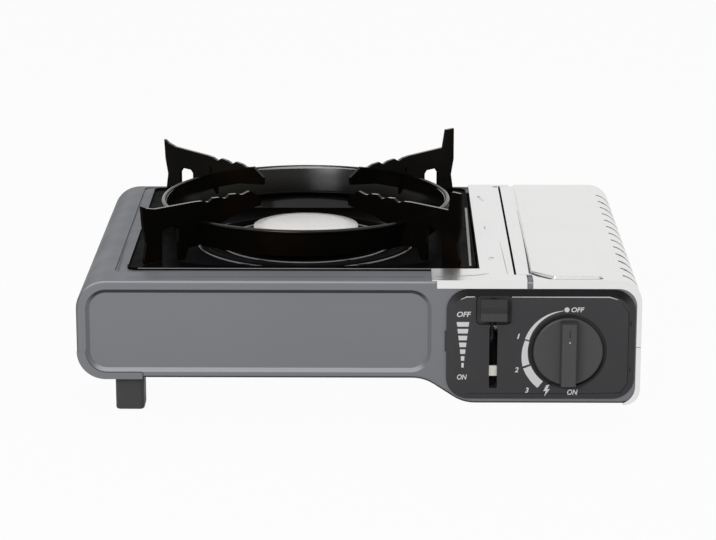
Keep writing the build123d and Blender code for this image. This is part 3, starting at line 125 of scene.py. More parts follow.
class ShaderBoard:
    """The node tree of one material or of the world."""

    def __init__(self, name: str, holder: bpy.types.ID | None = None) -> None:
        """Starts an empty tree.

        Args:
            name: the new material's name.
            holder: a world that takes the tree instead of a new material.
        """
        self.material = holder or bpy.data.materials.new(name)
        self.material.use_nodes = True
        self.tree = self.material.node_tree
        self.tree.nodes.clear()

    def node(self, kind: str, settings: dict[str, Any], inputs: dict[Any, Any]) -> bpy.types.Node:
        """Adds a node.

        Args:
            kind: Blender's name of the node type.
            settings: properties, which are set first.
            inputs: socket name or number to a value, a Shade or a socket.

        Returns:
            The new node.
        """
        made = self.tree.nodes.new(kind)
        for key, value in settings.items():
            setattr(made, key, value)
        for key, value in inputs.items():
            target = made.inputs[key]
            source = value.socket if isinstance(value, Shade) else value
            if isinstance(source, bpy.types.NodeSocket):
                self.tree.links.new(source, target)
            elif target.type == "RGBA" and len(source) == 3:
                target.default_value = (*source, 1.0)
            else:
                target.default_value = source
        return made

    def out(self, kind: str, settings: dict[str, Any], inputs: dict[Any, Any],
            name: Any = 0) -> Shade:
        """Adds a node and wraps one of its outputs."""
        return Shade(self, self.node(kind, settings, inputs).outputs[name])

    def place(self, scale: Sequence[float] = (1, 1, 1),
              move: Sequence[float] = (0, 0, 0)) -> Shade:
        """Object coordinates, stretched and moved.

        Args:
            scale: stretch along X, Y and Z.
            move: shift in metres.

        Returns:
            The coordinates.
        """
        coords = self.out("ShaderNodeTexCoord", {}, {}, "Object")
        return self.out("ShaderNodeMapping", {"vector_type": "POINT"},
                        {"Vector": coords, "Scale": scale, "Location": move})

    def noise(self, vector: Shade, scale: float, detail: float = 2.0,
              roughness: float = 0.5) -> Shade:
        """Cloudy values from 0 to 1.

        Args:
            vector: the coordinates.
            scale: clouds a metre.
            detail: how many finer layers it has.
            roughness: how strong the finer layers are.

        Returns:
            The values.
        """
        return self.out("ShaderNodeTexNoise", {"noise_dimensions": "3D"},
                        {"Vector": vector, "Scale": scale, "Detail": detail,
                         "Roughness": roughness})

    def ramp(self, value: Shade, low: float, high: float, to_low: float = 0.0,
             to_high: float = 1.0) -> Shade:
        """Smooth step of a value between two limits.

        Args:
            value: the value.
            low: its lower limit.
            high: its upper limit.
            to_low: result at the lower limit.
            to_high: result at the upper limit.

        Returns:
            The stepped value.
        """
        return self.out("ShaderNodeMapRange", {"interpolation_type": "SMOOTHSTEP"},
                        {"Value": value, "From Min": low, "From Max": high, "To Min": to_low,
                         "To Max": to_high})

    def blend(self, factor: Shade, first: Any, second: Any) -> Shade:
        """Mix of two colours."""
        return self.out("ShaderNodeMix", {"data_type": "RGBA"}, {0: factor, 6: first, 7: second},
                        2)

    def facing(self) -> tuple[Shade, Shade, Shade]:
        """The way the surface faces.

        Returns:
            Its share to the right, to the rear and upwards, each from -1 to 1.
        """
        normal = self.out("ShaderNodeTexCoord", {}, {}, "Normal")
        east, north, up = self.node("ShaderNodeSeparateXYZ", {}, {0: normal}).outputs
        return Shade(self, east), Shade(self, north), Shade(self, up)

    def height(self) -> Shade:
        """Height over the floor, in metres."""
        coords = self.out("ShaderNodeTexCoord", {}, {}, "Object")
        return self.out("ShaderNodeSeparateXYZ", {}, {0: coords}, 2)

    def bump(self, height: Shade, strength: float, distance: float,
             under: Shade | None = None) -> Shade:
        """Bump normal from a height.

        Args:
            height: the height, from 0 to 1.
            strength: share of it that shows.
            distance: depth in metres for a height of 1.
            under: another bump that lies under this one.

        Returns:
            The normal.
        """
        inputs: dict[Any, Any] = {"Height": height, "Strength": strength, "Distance": distance}
        if under is not None:
            inputs["Normal"] = under
        return self.out("ShaderNodeBump", {}, inputs)

    def close(self, shader: bpy.types.NodeSocket, kind: str = "ShaderNodeOutputMaterial") -> None:
        """Links the last shader to the tree's output."""
        self.node(kind, {}, {0: shader})

    def surface(self, **inputs: Any) -> bpy.types.Material:
        """Ends the tree in a Principled surface.

        Args:
            inputs: socket names with underscores for blanks.

        Returns:
            The finished material.
        """
        named = {key.replace("_", " "): value for key, value in inputs.items()}
        self.close(self.node("ShaderNodeBsdfPrincipled", {}, named).outputs[0])
        return self.material


# ------------------------------------------------------------------ finishes
class Grain(Enum):
    """Direction that a sheet was rolled or rubbed in, as stretch of its noise."""

    ALONG_X = (40.0, 2600.0, 2600.0)
    ALONG_Y = (2600.0, 40.0, 2600.0)
    ALONG_Z = (2600.0, 2600.0, 40.0)


class GlassCoat(Enum):
    """Share of glassy top coat by the way a face looks: sides, slopes, then flats."""

    TRAY = (0.05, 0.8, 0.0)
    RING = (0.05, 0.75, 1.0)
    WING = (0.06, 0.5, 1.0)
    BEAD = (1.0, 1.0, 1.0)


@dataclass(frozen=True)
class Finish:
    """A named surface with one main colour."""

    name: str
    colour: Colour

    def tone(self, share: float, more: float = 0.0) -> Colour:
        """The main colour times a share, with a little light added."""
        red, green, blue = (part * share + more for part in self.colour)
        return red, green, blue

    def make(self) -> bpy.types.Material:
        """Builds the material."""
        raise NotImplementedError(self.name)


@dataclass(frozen=True)
class PaintedSteel(Finish):
    """Powder paint on pressed sheet: faint orange peel and fine specks."""

    roughness: float = 0.5
    shine: float = 0.15
    cloud_scale: float = 9.0
    peel_scale: float = 950.0
    speck_scale: float = 5200.0
    speck_limits: Spot = (0.66, 0.78)
    # Painted highlight on front bends and painted shade below and at the sides: their tones and
    # limits.
    bend_highlight_tone: float = 2.0
    bend_starts: Spot = (0.35, 0.55)
    bend_ends: Spot = (0.7, 0.9)
    front_highlight_limits: Spot = (0.2, 0.5)
    under_shade_tone: float = 0.16
    under_shade_limits: Spot = (0.15, 0.5)
    side_shade_tone: float = 0.4
    side_shade_limits: Spot = (0.25, 0.75)
    peel_depth: float = 0.00006
    speck_depth: float = 0.00003

    def make(self) -> bpy.types.Material:
        """Builds the material, with a painted highlight on front bends and painted shade below and
        at the sides.

        Returns:
            The material.
        """
        board = ShaderBoard(self.name)
        place = board.place()
        speck = board.ramp(board.noise(place, self.speck_scale, 1.0), *self.speck_limits)
        base = board.blend(board.noise(place, self.cloud_scale, 3.0), self.tone(0.95),
                           self.tone(1.05))
        base = board.blend(speck * 0.2, base, self.tone(1.4, 0.02))
        east, north, up = board.facing()
        # Painted highlight on bends that face forward.
        bend_highlight = board.ramp(up, *self.bend_starts) - board.ramp(up, *self.bend_ends)
        bend_highlight = bend_highlight * board.ramp(-north, *self.front_highlight_limits)
        base = board.blend(bend_highlight.greatest(0.0), base, self.tone(self.bend_highlight_tone))
        # Painted shade on faces that look down.
        under = board.ramp(-up, *self.under_shade_limits)
        base = board.blend(under * 0.95, base, self.tone(self.under_shade_tone))
        # Painted shade on faces that look to either side.
        side = board.ramp(east.greatest(-east), *self.side_shade_limits)
        base = board.blend(side * 0.6, base, self.tone(self.side_shade_tone))
        rough = board.ramp(board.noise(place, 40.0, 4.0), 0.3, 0.7, self.roughness - 0.04,
                           self.roughness + 0.06)
        normal = board.bump(board.noise(place, self.peel_scale), 0.18, self.peel_depth)
        normal = board.bump(speck, 0.1, self.speck_depth, normal)
        return board.surface(Base_Color=base, Roughness=rough, Normal=normal,
                             Specular_IOR_Level=self.shine)


@dataclass(frozen=True)
class BrightSteel(Finish):
    """Bright sheet steel with a faint rolling grain and smudges of haze."""

    roughness: float = 0.26
    grain: Grain = Grain.ALONG_Y
    # Share of painted shade on slopes that face left.
    crease_shade: float = 0.0
    haze_scale: float = 14.0
    smudge_scale: float = 34.0
    smudge_limits: Spot = (0.52, 0.72)
    left_shade_limits: Spot = (0.2, 0.5)
    rise_shade_limits: Spot = (0.1, 0.4)
    crease_shade_tone: float = 0.1
    grain_depth: float = 0.00002

    def make(self) -> bpy.types.Material:
        """Builds the material, with painted shade on slopes that face left, where it has a crease
        shade.

        Returns:
            The material.
        """
        board = ShaderBoard(self.name)
        place = board.place()
        lines = board.noise(board.place(self.grain.value), 1.0, 3.0, 0.6)
        smudge = board.ramp(board.noise(place, self.smudge_scale, 4.0, 0.6),
                            *self.smudge_limits)
        base = board.blend(lines, self.tone(0.97), self.colour)
        base = board.blend(board.noise(place, self.haze_scale, 3.0) * 0.12, base, self.tone(0.88))
        east, _, up = board.facing()
        # Painted shade on slopes that face left and up.
        slope = board.ramp(-east, *self.left_shade_limits) * board.ramp(up, *self.rise_shade_limits)
        base = board.blend(slope * self.crease_shade, base, self.tone(self.crease_shade_tone))
        rough = board.ramp(lines, 0.25, 0.75, self.roughness - 0.05, self.roughness + 0.07)
        return board.surface(Base_Color=base, Metallic=1.0, Roughness=rough + smudge * 0.05,
                             Normal=board.bump(lines, 0.02, self.grain_depth))


@dataclass(frozen=True)
class GlossEnamel(Finish):
    """Fired enamel: near black, glassy where it pooled on slopes and edges."""

    coat: GlassCoat = GlassCoat.TRAY
    roughness: float = 0.3
    gloss: float = 0.1
    wave: float = 0.25
    fade: tuple[float, float] = (-1.0, -0.9)
    density: float = 1.5
    under_gloss: float = 0.002
    faded: float = 0.15
    slope_limits: Spot = (0.12, 0.45)
    flat_limits: Spot = (0.86, 0.985)
    wave_scale: float = 60.0
    wave_depth: float = 0.0004
    pit_scale: float = 2400.0
    pit_limits: Spot = (0.7, 0.8)
    pit_depth: float = 0.00004

    def make(self) -> bpy.types.Material:
        """Builds the material, its coat thinner below the fade's heights.

        Returns:
            The material.
        """
        board = ShaderBoard(self.name)
        place = board.place()
        pits = board.ramp(board.noise(place, self.pit_scale, 1.0), *self.pit_limits)
        red, green, blue = self.colour
        brown = (red * 1.8 + 0.001, green * 1.4 + 0.0005, blue)
        base = board.blend(board.ramp(board.noise(place, 25.0), 0.45, 0.75), self.colour, brown)
        rough = board.ramp(board.noise(place, 90.0, 3.0), 0.35, 0.75, self.roughness,
                           self.roughness + 0.1)
        upward = board.facing()[2]
        side, slope, flat = self.coat.value
        coat = board.ramp(upward, *self.slope_limits, side, slope)
        coat = coat + board.ramp(upward, *self.flat_limits, 0.0, flat - slope)
        coat = coat * board.ramp(board.height(), *self.fade, self.faded, 1.0)
        normal = board.bump(board.noise(place, self.wave_scale), self.wave, self.wave_depth)
        normal = board.bump(pits, -0.12, self.pit_depth, normal)
        return board.surface(Base_Color=base, Roughness=rough + pits * 0.2, Normal=normal,
                             Specular_IOR_Level=self.under_gloss, Coat_Weight=coat,
                             Coat_Roughness=self.gloss, Coat_IOR=self.density)


@dataclass(frozen=True)
class MouldedPlastic(Finish):
    """Moulded plastic with a spark-eroded skin."""

    roughness: float = 0.4
    skin: float = 0.12
    shine: float = 0.35
    shade: float = 0.0
    shade_tone: float = 0.12
    shade_limits: Spot = (0.15, 0.4)
    cell_scale: float = 2600.0
    skin_scale: float = 4200.0
    skin_depth: float = 0.00004

    def make(self) -> bpy.types.Material:
        """Builds the material, with painted shade on faces that look up, where it has a shade
        share.

        Returns:
            The material.
        """
        board = ShaderBoard(self.name)
        place = board.place()
        cells = board.out("ShaderNodeTexVoronoi", {"feature": "SMOOTH_F1"},
                          {"Vector": place, "Scale": self.cell_scale})
        fine = board.noise(place, self.skin_scale)
        cloud = board.noise(place, 30.0, 3.0)
        base = board.blend(cloud, self.tone(0.86), self.tone(1.14))
        rough = board.ramp(cloud, 0.3, 0.7, self.roughness - 0.04, self.roughness + 0.06)
        up = board.facing()[2]
        # Painted shade on faces that look up.
        base = board.blend(board.ramp(up, *self.shade_limits) * self.shade, base,
                           self.tone(self.shade_tone))
        return board.surface(Base_Color=base, Roughness=rough + (fine - 0.5) * 0.06,
                             Normal=board.bump(cells + fine * 0.5, self.skin,
                                               self.skin_depth),
                             Specular_IOR_Level=self.shine)


@dataclass(frozen=True)
class SpunMetal(Finish):
    """Turned or spun metal: rings of one pitch, in metres, round an upright axis."""

    centre: Point = (0.0, 0.0, 0.0)
    roughness: float = 0.3
    pitch: float = 0.0007
    wave_at_one: float = 0.314
    ring_depth: float = 0.00005

    def make(self) -> bpy.types.Material:
        """Builds the material.

        Returns:
            The material.
        """
        board = ShaderBoard(self.name)
        place = board.place(move=[-part for part in self.centre])
        rings = board.out("ShaderNodeTexWave",
                          {"wave_type": "RINGS", "rings_direction": "Z", "wave_profile": "SIN"},
                          {"Vector": place, "Scale": self.wave_at_one / self.pitch,
                           "Distortion": 0.6, "Detail": 2.0}, "Fac")
        streak = board.noise(place, 260.0, 3.0, 0.7)
        base = board.blend(rings * 0.5 + streak * 0.5, self.tone(0.84), self.colour)
        rough = board.ramp(rings, 0.0, 1.0, self.roughness - 0.05, self.roughness + 0.08)
        return board.surface(Base_Color=base, Metallic=1.0, Roughness=rough,
                             Normal=board.bump(rings, 0.22, self.ring_depth))


@dataclass(frozen=True)
class CastMetal(Finish):
    """Die-cast metal: dull, slightly grainy, with cloudy darker patches."""

    roughness: float = 0.48
    grain_scale: float = 1500.0
    grain_depth: float = 0.00008

    def make(self) -> bpy.types.Material:
        """Builds the material.

        Returns:
            The material.
        """
        board = ShaderBoard(self.name)
        place = board.place()
        grain = board.noise(place, self.grain_scale, 4.0, 0.65)
        base = board.blend(board.noise(place, 60.0, 4.0), self.tone(0.78), self.colour)
        rough = board.ramp(grain, 0.3, 0.7, self.roughness - 0.08, self.roughness + 0.1)
        return board.surface(Base_Color=base, Metallic=1.0, Roughness=rough,
                             Normal=board.bump(grain, 0.25, self.grain_depth))


@dataclass(frozen=True)
class SoftRubber(Finish):
    """Matt rubber with a dusty bloom."""

    bloom_scale: float = 120.0
    grain_scale: float = 3000.0
    grain_depth: float = 0.00006

    def make(self) -> bpy.types.Material:
        """Builds the material.

        Returns:
            The material.
        """
        board = ShaderBoard(self.name)
        place = board.place()
        bloom = board.noise(place, self.bloom_scale, 5.0, 0.7)
        base = board.blend(board.ramp(bloom, 0.4, 0.75) * 0.5, self.colour, self.tone(1.7, 0.01))
        normal = board.bump(board.noise(place, self.grain_scale), 0.2, self.grain_depth)
        return board.surface(Base_Color=base, Roughness=board.ramp(bloom, 0.3, 0.7, 0.5, 0.72),
                             Normal=normal, Specular_IOR_Level=0.4)


@dataclass(frozen=True)
class PrintedInk(Finish):
    """Screen-printed ink: nearly flat, with a fine mesh in its edge."""

    mesh_scale: float = 3600.0
    mesh_depth: float = 0.00002
    cloud_scale: float = 220.0

    def make(self) -> bpy.types.Material:
        """Builds the material.

        Returns:
            The material.
        """
        board = ShaderBoard(self.name)
        place = board.place()
        mesh = board.noise(place, self.mesh_scale, 1.0)
        base = board.blend(board.noise(place, self.cloud_scale, 3.0), self.tone(0.88),
                           self.colour)
        return board.surface(Base_Color=base, Roughness=board.ramp(mesh, 0.3, 0.7, 0.42, 0.58),
                             Normal=board.bump(mesh, 0.12, self.mesh_depth),
                             Specular_IOR_Level=0.3)


# ------------------------------------------------------------------ mesh helpers
def arc(centre: Spot, start: float, end: float, steps: int, radius: float,
        last_radius: float | None = None) -> list[Spot]:
    """Points along an arc, or along a spiral where the last radius differs.

    Args:
        centre: the arc's centre.
        start: first angle in degrees.
        end: last angle in degrees.
        steps: how many equal steps lie between them.
        radius: distance of the first point from the centre.
        last_radius: distance of the last one, if it isn't the same.

    Returns:
        One point more than there are steps.
    """
    growth = 0.0 if last_radius is None else last_radius - radius
    points = []
    for i in range(steps + 1):
        share = i / steps
        angle = math.radians(start + (end - start) * share)
        reach = radius + growth * share
        points.append((centre[0] + reach * math.cos(angle), centre[1] + reach * math.sin(angle)))
    return points


def flat(z: float, *spots: Spot) -> list[Point]:
    """Points in X and Y at one height."""
    return [(x, y, z) for x, y in spots]


def upright(y: float, *spots: Spot) -> list[Point]:
    """Points in X and Z at one depth."""
    return [(x, y, z) for x, z in spots]


def mesh_piece(name: str, build: Callable[[bmesh.types.BMesh], None],
               material: bpy.types.Material, smooth: float = 35.0) -> bpy.types.Object:
    """Makes a piece from bmesh code.

    Args:
        name: the piece's name.
        build: fills the bmesh, in metres, in the stove's frame.
        material: its finish.
        smooth: faces that meet under this angle, in degrees, are shaded smooth.

    Returns:
        The new object, at the origin.
    """
    mesh = bpy.data.meshes.new(name)
    bm = bmesh.new()
    build(bm)
    bmesh.ops.remove_doubles(bm, verts=bm.verts, dist=SAME_POINT)
    bmesh.ops.recalc_face_normals(bm, faces=bm.faces)
    limit = math.radians(smooth)
    for face in bm.faces:
        face.smooth = True
    for edge in bm.edges:
        edge.smooth = len(edge.link_faces) == 2 and edge.calc_face_angle(0.0) < limit
    bm.to_mesh(mesh)
    bm.free()
    mesh.materials.append(material)
    return link_piece(name, mesh)


def link_piece(name: str, data: bpy.types.ID | None) -> bpy.types.Object:
    """Puts a new object into the scene.

    Args:
        name: the object's name.
        data: its mesh, curve, lamp or camera.

    Returns:
        The new object, at the origin.
    """
    piece = bpy.data.objects.new(name, data)
    bpy.context.collection.objects.link(piece)
    return piece


def final_mesh(holder: bpy.types.Object) -> bpy.types.Mesh:
    """Turns an object with its modifiers into a plain mesh.

    Args:
        holder: the object, which stays as it is.

    Returns:
        A new mesh.
    """
    bpy.context.view_layer.update()
    graph = bpy.context.evaluated_depsgraph_get()
    return bpy.data.meshes.new_from_object(holder.evaluated_get(graph))


def add_prism(bm: bmesh.types.BMesh, outline: Sequence[Spot], back: float,
              front: float) -> None:
    """Adds a flat plate, in millimetres.

    Args:
        bm: the mesh that takes it.
        outline: the plate's corners in X and Z.
        back: Y of its rear face.
        front: Y of its front face.
    """
    rear, face = ([bm.verts.new(Vector(point) * MM) for point in upright(y, *outline)]
                  for y in (back, front))
    bm.faces.new(rear)
    bm.faces.new(face[::-1])
    for i in range(len(outline)):
        j = (i + 1) % len(outline)
        bm.faces.new((rear[j], rear[i], face[i], face[j]))


def prism_piece(name: str, outlines: Sequence[Sequence[Spot]], back: float, front: float,
                material: bpy.types.Material) -> bpy.types.Object:
    """Makes one piece of several flat plates between two depths, in millimetres.

    Args:
        name: the piece's name.
        outlines: each plate's corners in X and Z.
        back: Y of the rear faces.
        front: Y of the front faces.
        material: the finish.

    Returns:
        The new object, at the origin.
    """
    def build(bm: bmesh.types.BMesh) -> None:
        """Adds every plate."""
        for outline in outlines:
            add_prism(bm, outline, back, front)

    return mesh_piece(name, build, material)


def add_bar(bm: bmesh.types.BMesh, rows: Sequence[Sequence[Vector]]) -> None:
    """Skins a bar of four-cornered sections and closes its ends.

    Args:
        bm: the mesh that takes it.
        rows: the corners of each section, in metres.
    """
    made = [[bm.verts.new(corner) for corner in row] for row in rows]
    bm.faces.new(made[0])
    bm.faces.new(made[-1][::-1])
    for first, last in zip(made, made[1:]):
        for i in range(4):
            j = (i + 1) % 4
            bm.faces.new((first[j], first[i], last[i], last[j]))


@dataclass(frozen=True)
class Line:
    """A thin line on a surface: its middle and its width at each point, in millimetres."""

    points: Sequence[Point]
    widths: Sequence[float]
    normal: Point = UP
    lift: float = 0.03

    def add(self, bm: bmesh.types.BMesh) -> None:
        """Adds the line, standing off the surface by its lift.

        Args:
            bm: the mesh that takes it.
        """
        up = Vector(self.normal).normalized()
        end = len(self.points) - 1
        rows = []
        for i, (point, width) in enumerate(zip(self.points, self.widths)):
            ahead = Vector(self.points[min(i + 1, end)]) - Vector(self.points[max(i - 1, 0)])
            side = ahead.normalized().cross(up).normalized() * (width / 2)
            rows.append([(Vector(point) + across * side + off * self.lift * up) * MM
                         for across, off in ((-1, 1), (1, 1), (1, -1), (-1, -1))])
        add_bar(bm, rows)


def line_piece(name: str, lines: Sequence[Line],
               material: bpy.types.Material) -> bpy.types.Object:
    """Makes one piece of several thin lines.

    Args:
        name: the piece's name.
        lines: the lines.
        material: the finish.

    Returns:
        The new object, at the origin.
    """
    def build(bm: bmesh.types.BMesh) -> None:
        """Adds every line."""
        for line in lines:
            line.add(bm)

    return mesh_piece(name, build, material)


def smooth_copy(frame: dict[str, Any], node: str, material: bpy.types.Material,
                smooth: float = 38.0) -> bpy.types.Object:
    """Makes a piece of a node's own shape, with its facets shaded round.

    Args:
        frame: the loaded frame.
        node: the node that the piece stands for.
        material: its finish.
        smooth: faces that meet under this angle, in degrees, are shaded smooth.

    Returns:
        The piece, which replaces the node.
    """
    def build(bm: bmesh.types.BMesh) -> None:
        """Takes the node's triangles and merges them."""
        bm.from_mesh(frame["nodes"][node].data)
        bmesh.ops.remove_doubles(bm, verts=bm.verts, dist=SAME_CORNER)

    piece = mesh_piece(node + "_look", build, material, smooth)
    weigh = piece.modifiers.new("weigh", "WEIGHTED_NORMAL")
    weigh.mode = "FACE_AREA"
    weigh.keep_sharp = True
    mesh = final_mesh(piece)
    piece.modifiers.clear()
    piece.data = mesh
    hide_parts(node)
    return piece


# ------------------------------------------------------------------ geometry nodes
class GeometryBoard:
    """A Geometry Nodes tree that makes one repeated piece."""

    def __init__(self, name: str) -> None:
        """Starts a tree with one geometry output.

        Args:
            name: the piece's name.
        """
        self.name = name
        self.tree = bpy.data.node_groups.new(name, "GeometryNodeTree")
        self.tree.interface.new_socket("Geometry", in_out="OUTPUT",
                                       socket_type="NodeSocketGeometry")
        self.group_in = self.tree.nodes.new("NodeGroupInput")
        self.group_out = self.tree.nodes.new("NodeGroupOutput")
        self.values: dict[str, Any] = {}

    def size(self, name: str, value: Any, kind: str = "Float") -> bpy.types.NodeSocket:
        """Adds a named input and keeps its value.

        Args:
            name: the input's name.
            value: what the modifier sets it to.
            kind: the socket's kind, such as Float, Int, Vector or Object.

        Returns:
            The socket that gives the value inside the tree.
        """
        self.tree.interface.new_socket(name, in_out="INPUT", socket_type="NodeSocket" + kind)
        self.values[name] = value
        return self.group_in.outputs[name]

    def node(self, kind: str, settings: dict[str, Any],
             inputs: dict[Any, Any]) -> bpy.types.NodeSocket:
        """Adds a node.

        Args:
            kind: Blender's name of the node type.
            settings: properties, which are set first.
            inputs: socket name or number to a value or a socket.

        Returns:
            The new node's geometry, or its first output where it has none.
        """
        made = self.tree.nodes.new(kind)
        for key, value in settings.items():
            setattr(made, key, value)
        for key, value in inputs.items():
            if isinstance(value, bpy.types.NodeSocket):
                self.tree.links.new(value, made.inputs[key])
            else:
                made.inputs[key].default_value = value
        return made.outputs["Geometry" if "Geometry" in made.outputs else 0]

    def row(self, what: str, shape: bpy.types.Object, count: int, start: Point, step: Point,
            scale: bpy.types.NodeSocket | None = None) -> bpy.types.NodeSocket:
        """Repeats a shape along a straight row.

        Args:
            what: a word for it, which names the row's inputs.
            shape: the object that is repeated.
            count: how often.
            start: place of the first one, in millimetres.
            step: from one to the next, in millimetres.
            scale: stretch of each one, if any.

        Returns:
            The instances.
        """
        first = self.size(f"First {what}", tuple(Vector(start) * MM), "Vector")
        offset = self.size(f"Step to the next {what}", tuple(Vector(step) * MM), "Vector")
        drawn = self.node("GeometryNodeObjectInfo", {"transform_space": "ORIGINAL"},
                          {"Object": self.size(f"Shape of a {what}", shape, "Object")})
        points = self.node("GeometryNodeMeshLine", {"mode": "OFFSET", "count_mode": "TOTAL"},
                           {"Count": self.size(f"Number of {what}s", count, "Int"),
                            "Start Location": first, "Offset": offset})
        inputs = {"Points": points, "Instance": drawn}
        if scale is not None:
            inputs["Scale"] = scale
        return self.node("GeometryNodeInstanceOnPoints", {}, inputs)

    def finish(self, geometry: bpy.types.NodeSocket,
               material: bpy.types.Material) -> bpy.types.Object:
        """Realizes the geometry and turns it into a plain mesh object.

        Args:
            geometry: the last geometry socket.
            material: its finish.

        Returns:
            The new object, at the origin, with no modifier.
        """
        real = self.node("GeometryNodeRealizeInstances", {}, {0: geometry})
        painted = self.node("GeometryNodeSetMaterial", {},
                            {"Geometry": real, "Material": material})
        self.tree.links.new(painted, self.group_out.inputs[0])
        holder = link_piece(self.name + "_maker", bpy.data.meshes.new(self.name + "_maker"))
        modifier = holder.modifiers.new("maker", "NODES")
        modifier.node_group = self.tree
        for item in self.tree.interface.items_tree:
            if item.item_type == "SOCKET" and item.in_out == "INPUT":
                modifier[item.identifier] = self.values[item.name]
        mesh = final_mesh(holder)
        mesh.name = self.name
        bpy.data.objects.remove(holder, do_unlink=True)
        if not mesh.materials:
            mesh.materials.append(material)
        return link_piece(self.name, mesh)


# ------------------------------------------------------------------ sub-assemblies
@dataclass
class Assembly:
    """A part of the stove that dresses its solids and makes its extra pieces."""

    frame: dict[str, Any]

    def finishes(self) -> list[tuple[Finish, str]]:
        """Each finish with the solids that wear it, parted by blanks."""
        return []

    def dress(self) -> None:
        """Gives the solids their finish."""
        for finish, nodes in self.finishes():
            material = finish.make()
            for node in nodes.split():
                slots = self.frame["nodes"][node].data.materials
                slots.clear()
                slots.append(material)

    def pieces(self) -> Made:
        """Makes the extra pieces, each with the body that it rides on."""
        return []


@dataclass
class Body(Assembly):
    """Painted shell, plain inner sheets and the four feet."""

    paint: Finish = PaintedSteel("grey_paint", (0.214, 0.219, 0.234))
    sheet: Finish = BrightSteel("plain_sheet", (0.62, 0.62, 0.62), 0.36, Grain.ALONG_X)
    rubber: Finish = SoftRubber("foot_rubber", (0.036, 0.036, 0.037))
    # Ink for the painted shadow in the corner seam.
    dark: Finish = PrintedInk("seam_shadow", (0.02, 0.02, 0.022))
    shade: Finish = PrintedInk("deck_shade", (0.12, 0.124, 0.135))
    front_y: float = -121.0
    deck_z: float = 85.0
    crease_angle: float = 18.0
    corner: Spot = (-155.0, 40.4)
    corner_r: float = 16.95
    skirt_drop: float = 0.75
    skirt_end: float = -132.0
    skirt_bevel: float = 0.4
    skirt_top: float = 26.9
    skirt_r: float = 13.3
    skirt_back: float = 0.4
    skirt_proud: float = 0.15
    seam: Spot = (-153.4, 40.2)
    seam_r: float = 12.98
    seam_join: Spot = (-133.0, 27.25)
    seam_side: float = 0.25
    seam_low: Spot = (26.7, 23.7)
    # Painted shade lines along the deck's creases.
    front_crease: tuple[Spot, ...] = ((-142.2, -112.2), (-50.9, -111.4), (40.4, -110.7))
    left_crease: tuple[Spot, ...] = ((-149.6, -9.8), (-149.0, -58.8), (-148.2, -100.3))

    def finishes(self) -> list[tuple[Finish, str]]:
        """Lists the plain inner nodes.

        Returns:
            Inner sheets and feet.
        """
        return [(self.sheet,
                 "base_pan heat_shield regulator_bracket cartridge_carriage burner_bracket"),
                (self.rubber,
                 "front_left_foot rear_left_foot front_right_foot rear_right_foot")]

    def corner_skirt(self, paint: bpy.types.Material) -> bpy.types.Object:
        """Makes the flange that laps the lower left corner and ends over the foot.

        Args:
            paint: the shell's paint.

        Returns:
            The flange.
        """
        outline = arc(self.corner, 180, 270, 18, self.corner_r, self.corner_r + self.skirt_drop)
        low = outline[-1][1]
        outline += [(self.skirt_end - self.skirt_bevel, low),
                    (self.skirt_end, low + self.skirt_bevel), (self.skirt_end, self.skirt_top)]
        outline += arc(self.seam, 270, 180, 18, self.skirt_r)
        return prism_piece("corner_skirt", [outline], self.front_y + self.skirt_back,
                           self.front_y - self.skirt_proud, paint)

    def corner_seam(self) -> bpy.types.Object:
        """Makes the painted shadow in the seam where the flange meets the front wall.

        Returns:
            The painted shadow.
        """
        end = self.skirt_end + self.seam_side
        high, low = self.seam_low
        along = upright(self.front_y, *arc(self.seam, 172, 270, 14, self.seam_r), self.seam_join,
                        (end, high))
        down = upright(self.front_y, (end, self.skirt_top), (end, low))
        widths = [0.2 + 0.02 * i for i in range(len(along))]
        return line_piece("corner_seam", [Line(along, widths, FORWARD),
                                          Line(down, (0.5, 0.5), FORWARD)], self.dark.make())

    def deck_creases(self) -> bpy.types.Object:
        """Makes painted shade along the shallow press lines of the deck.

        Returns:
            The lines, in front of the tray and left of it.
        """
        lines = [Line(flat(self.deck_z, *self.front_crease), (0.4, 1.6, 1.6)),
                 Line(flat(self.deck_z, *self.left_crease), (0.1, 0.5, 0.6))]
        return line_piece("deck_creases", lines, self.shade.make())

    def pieces(self) -> Made:
        """Makes the painted shell, shaded round at its pressed corners, its flange, and painted
        shade in its seam and deck creases.

        Returns:
            Each piece with its body.
        """
        paint = self.paint.make()
        return [(smooth_copy(self.frame, "outer_shell", paint, self.crease_angle), "frame"),
                (self.corner_skirt(paint), "frame"), (self.corner_seam(), "frame"),
                (self.deck_creases(), "frame")]


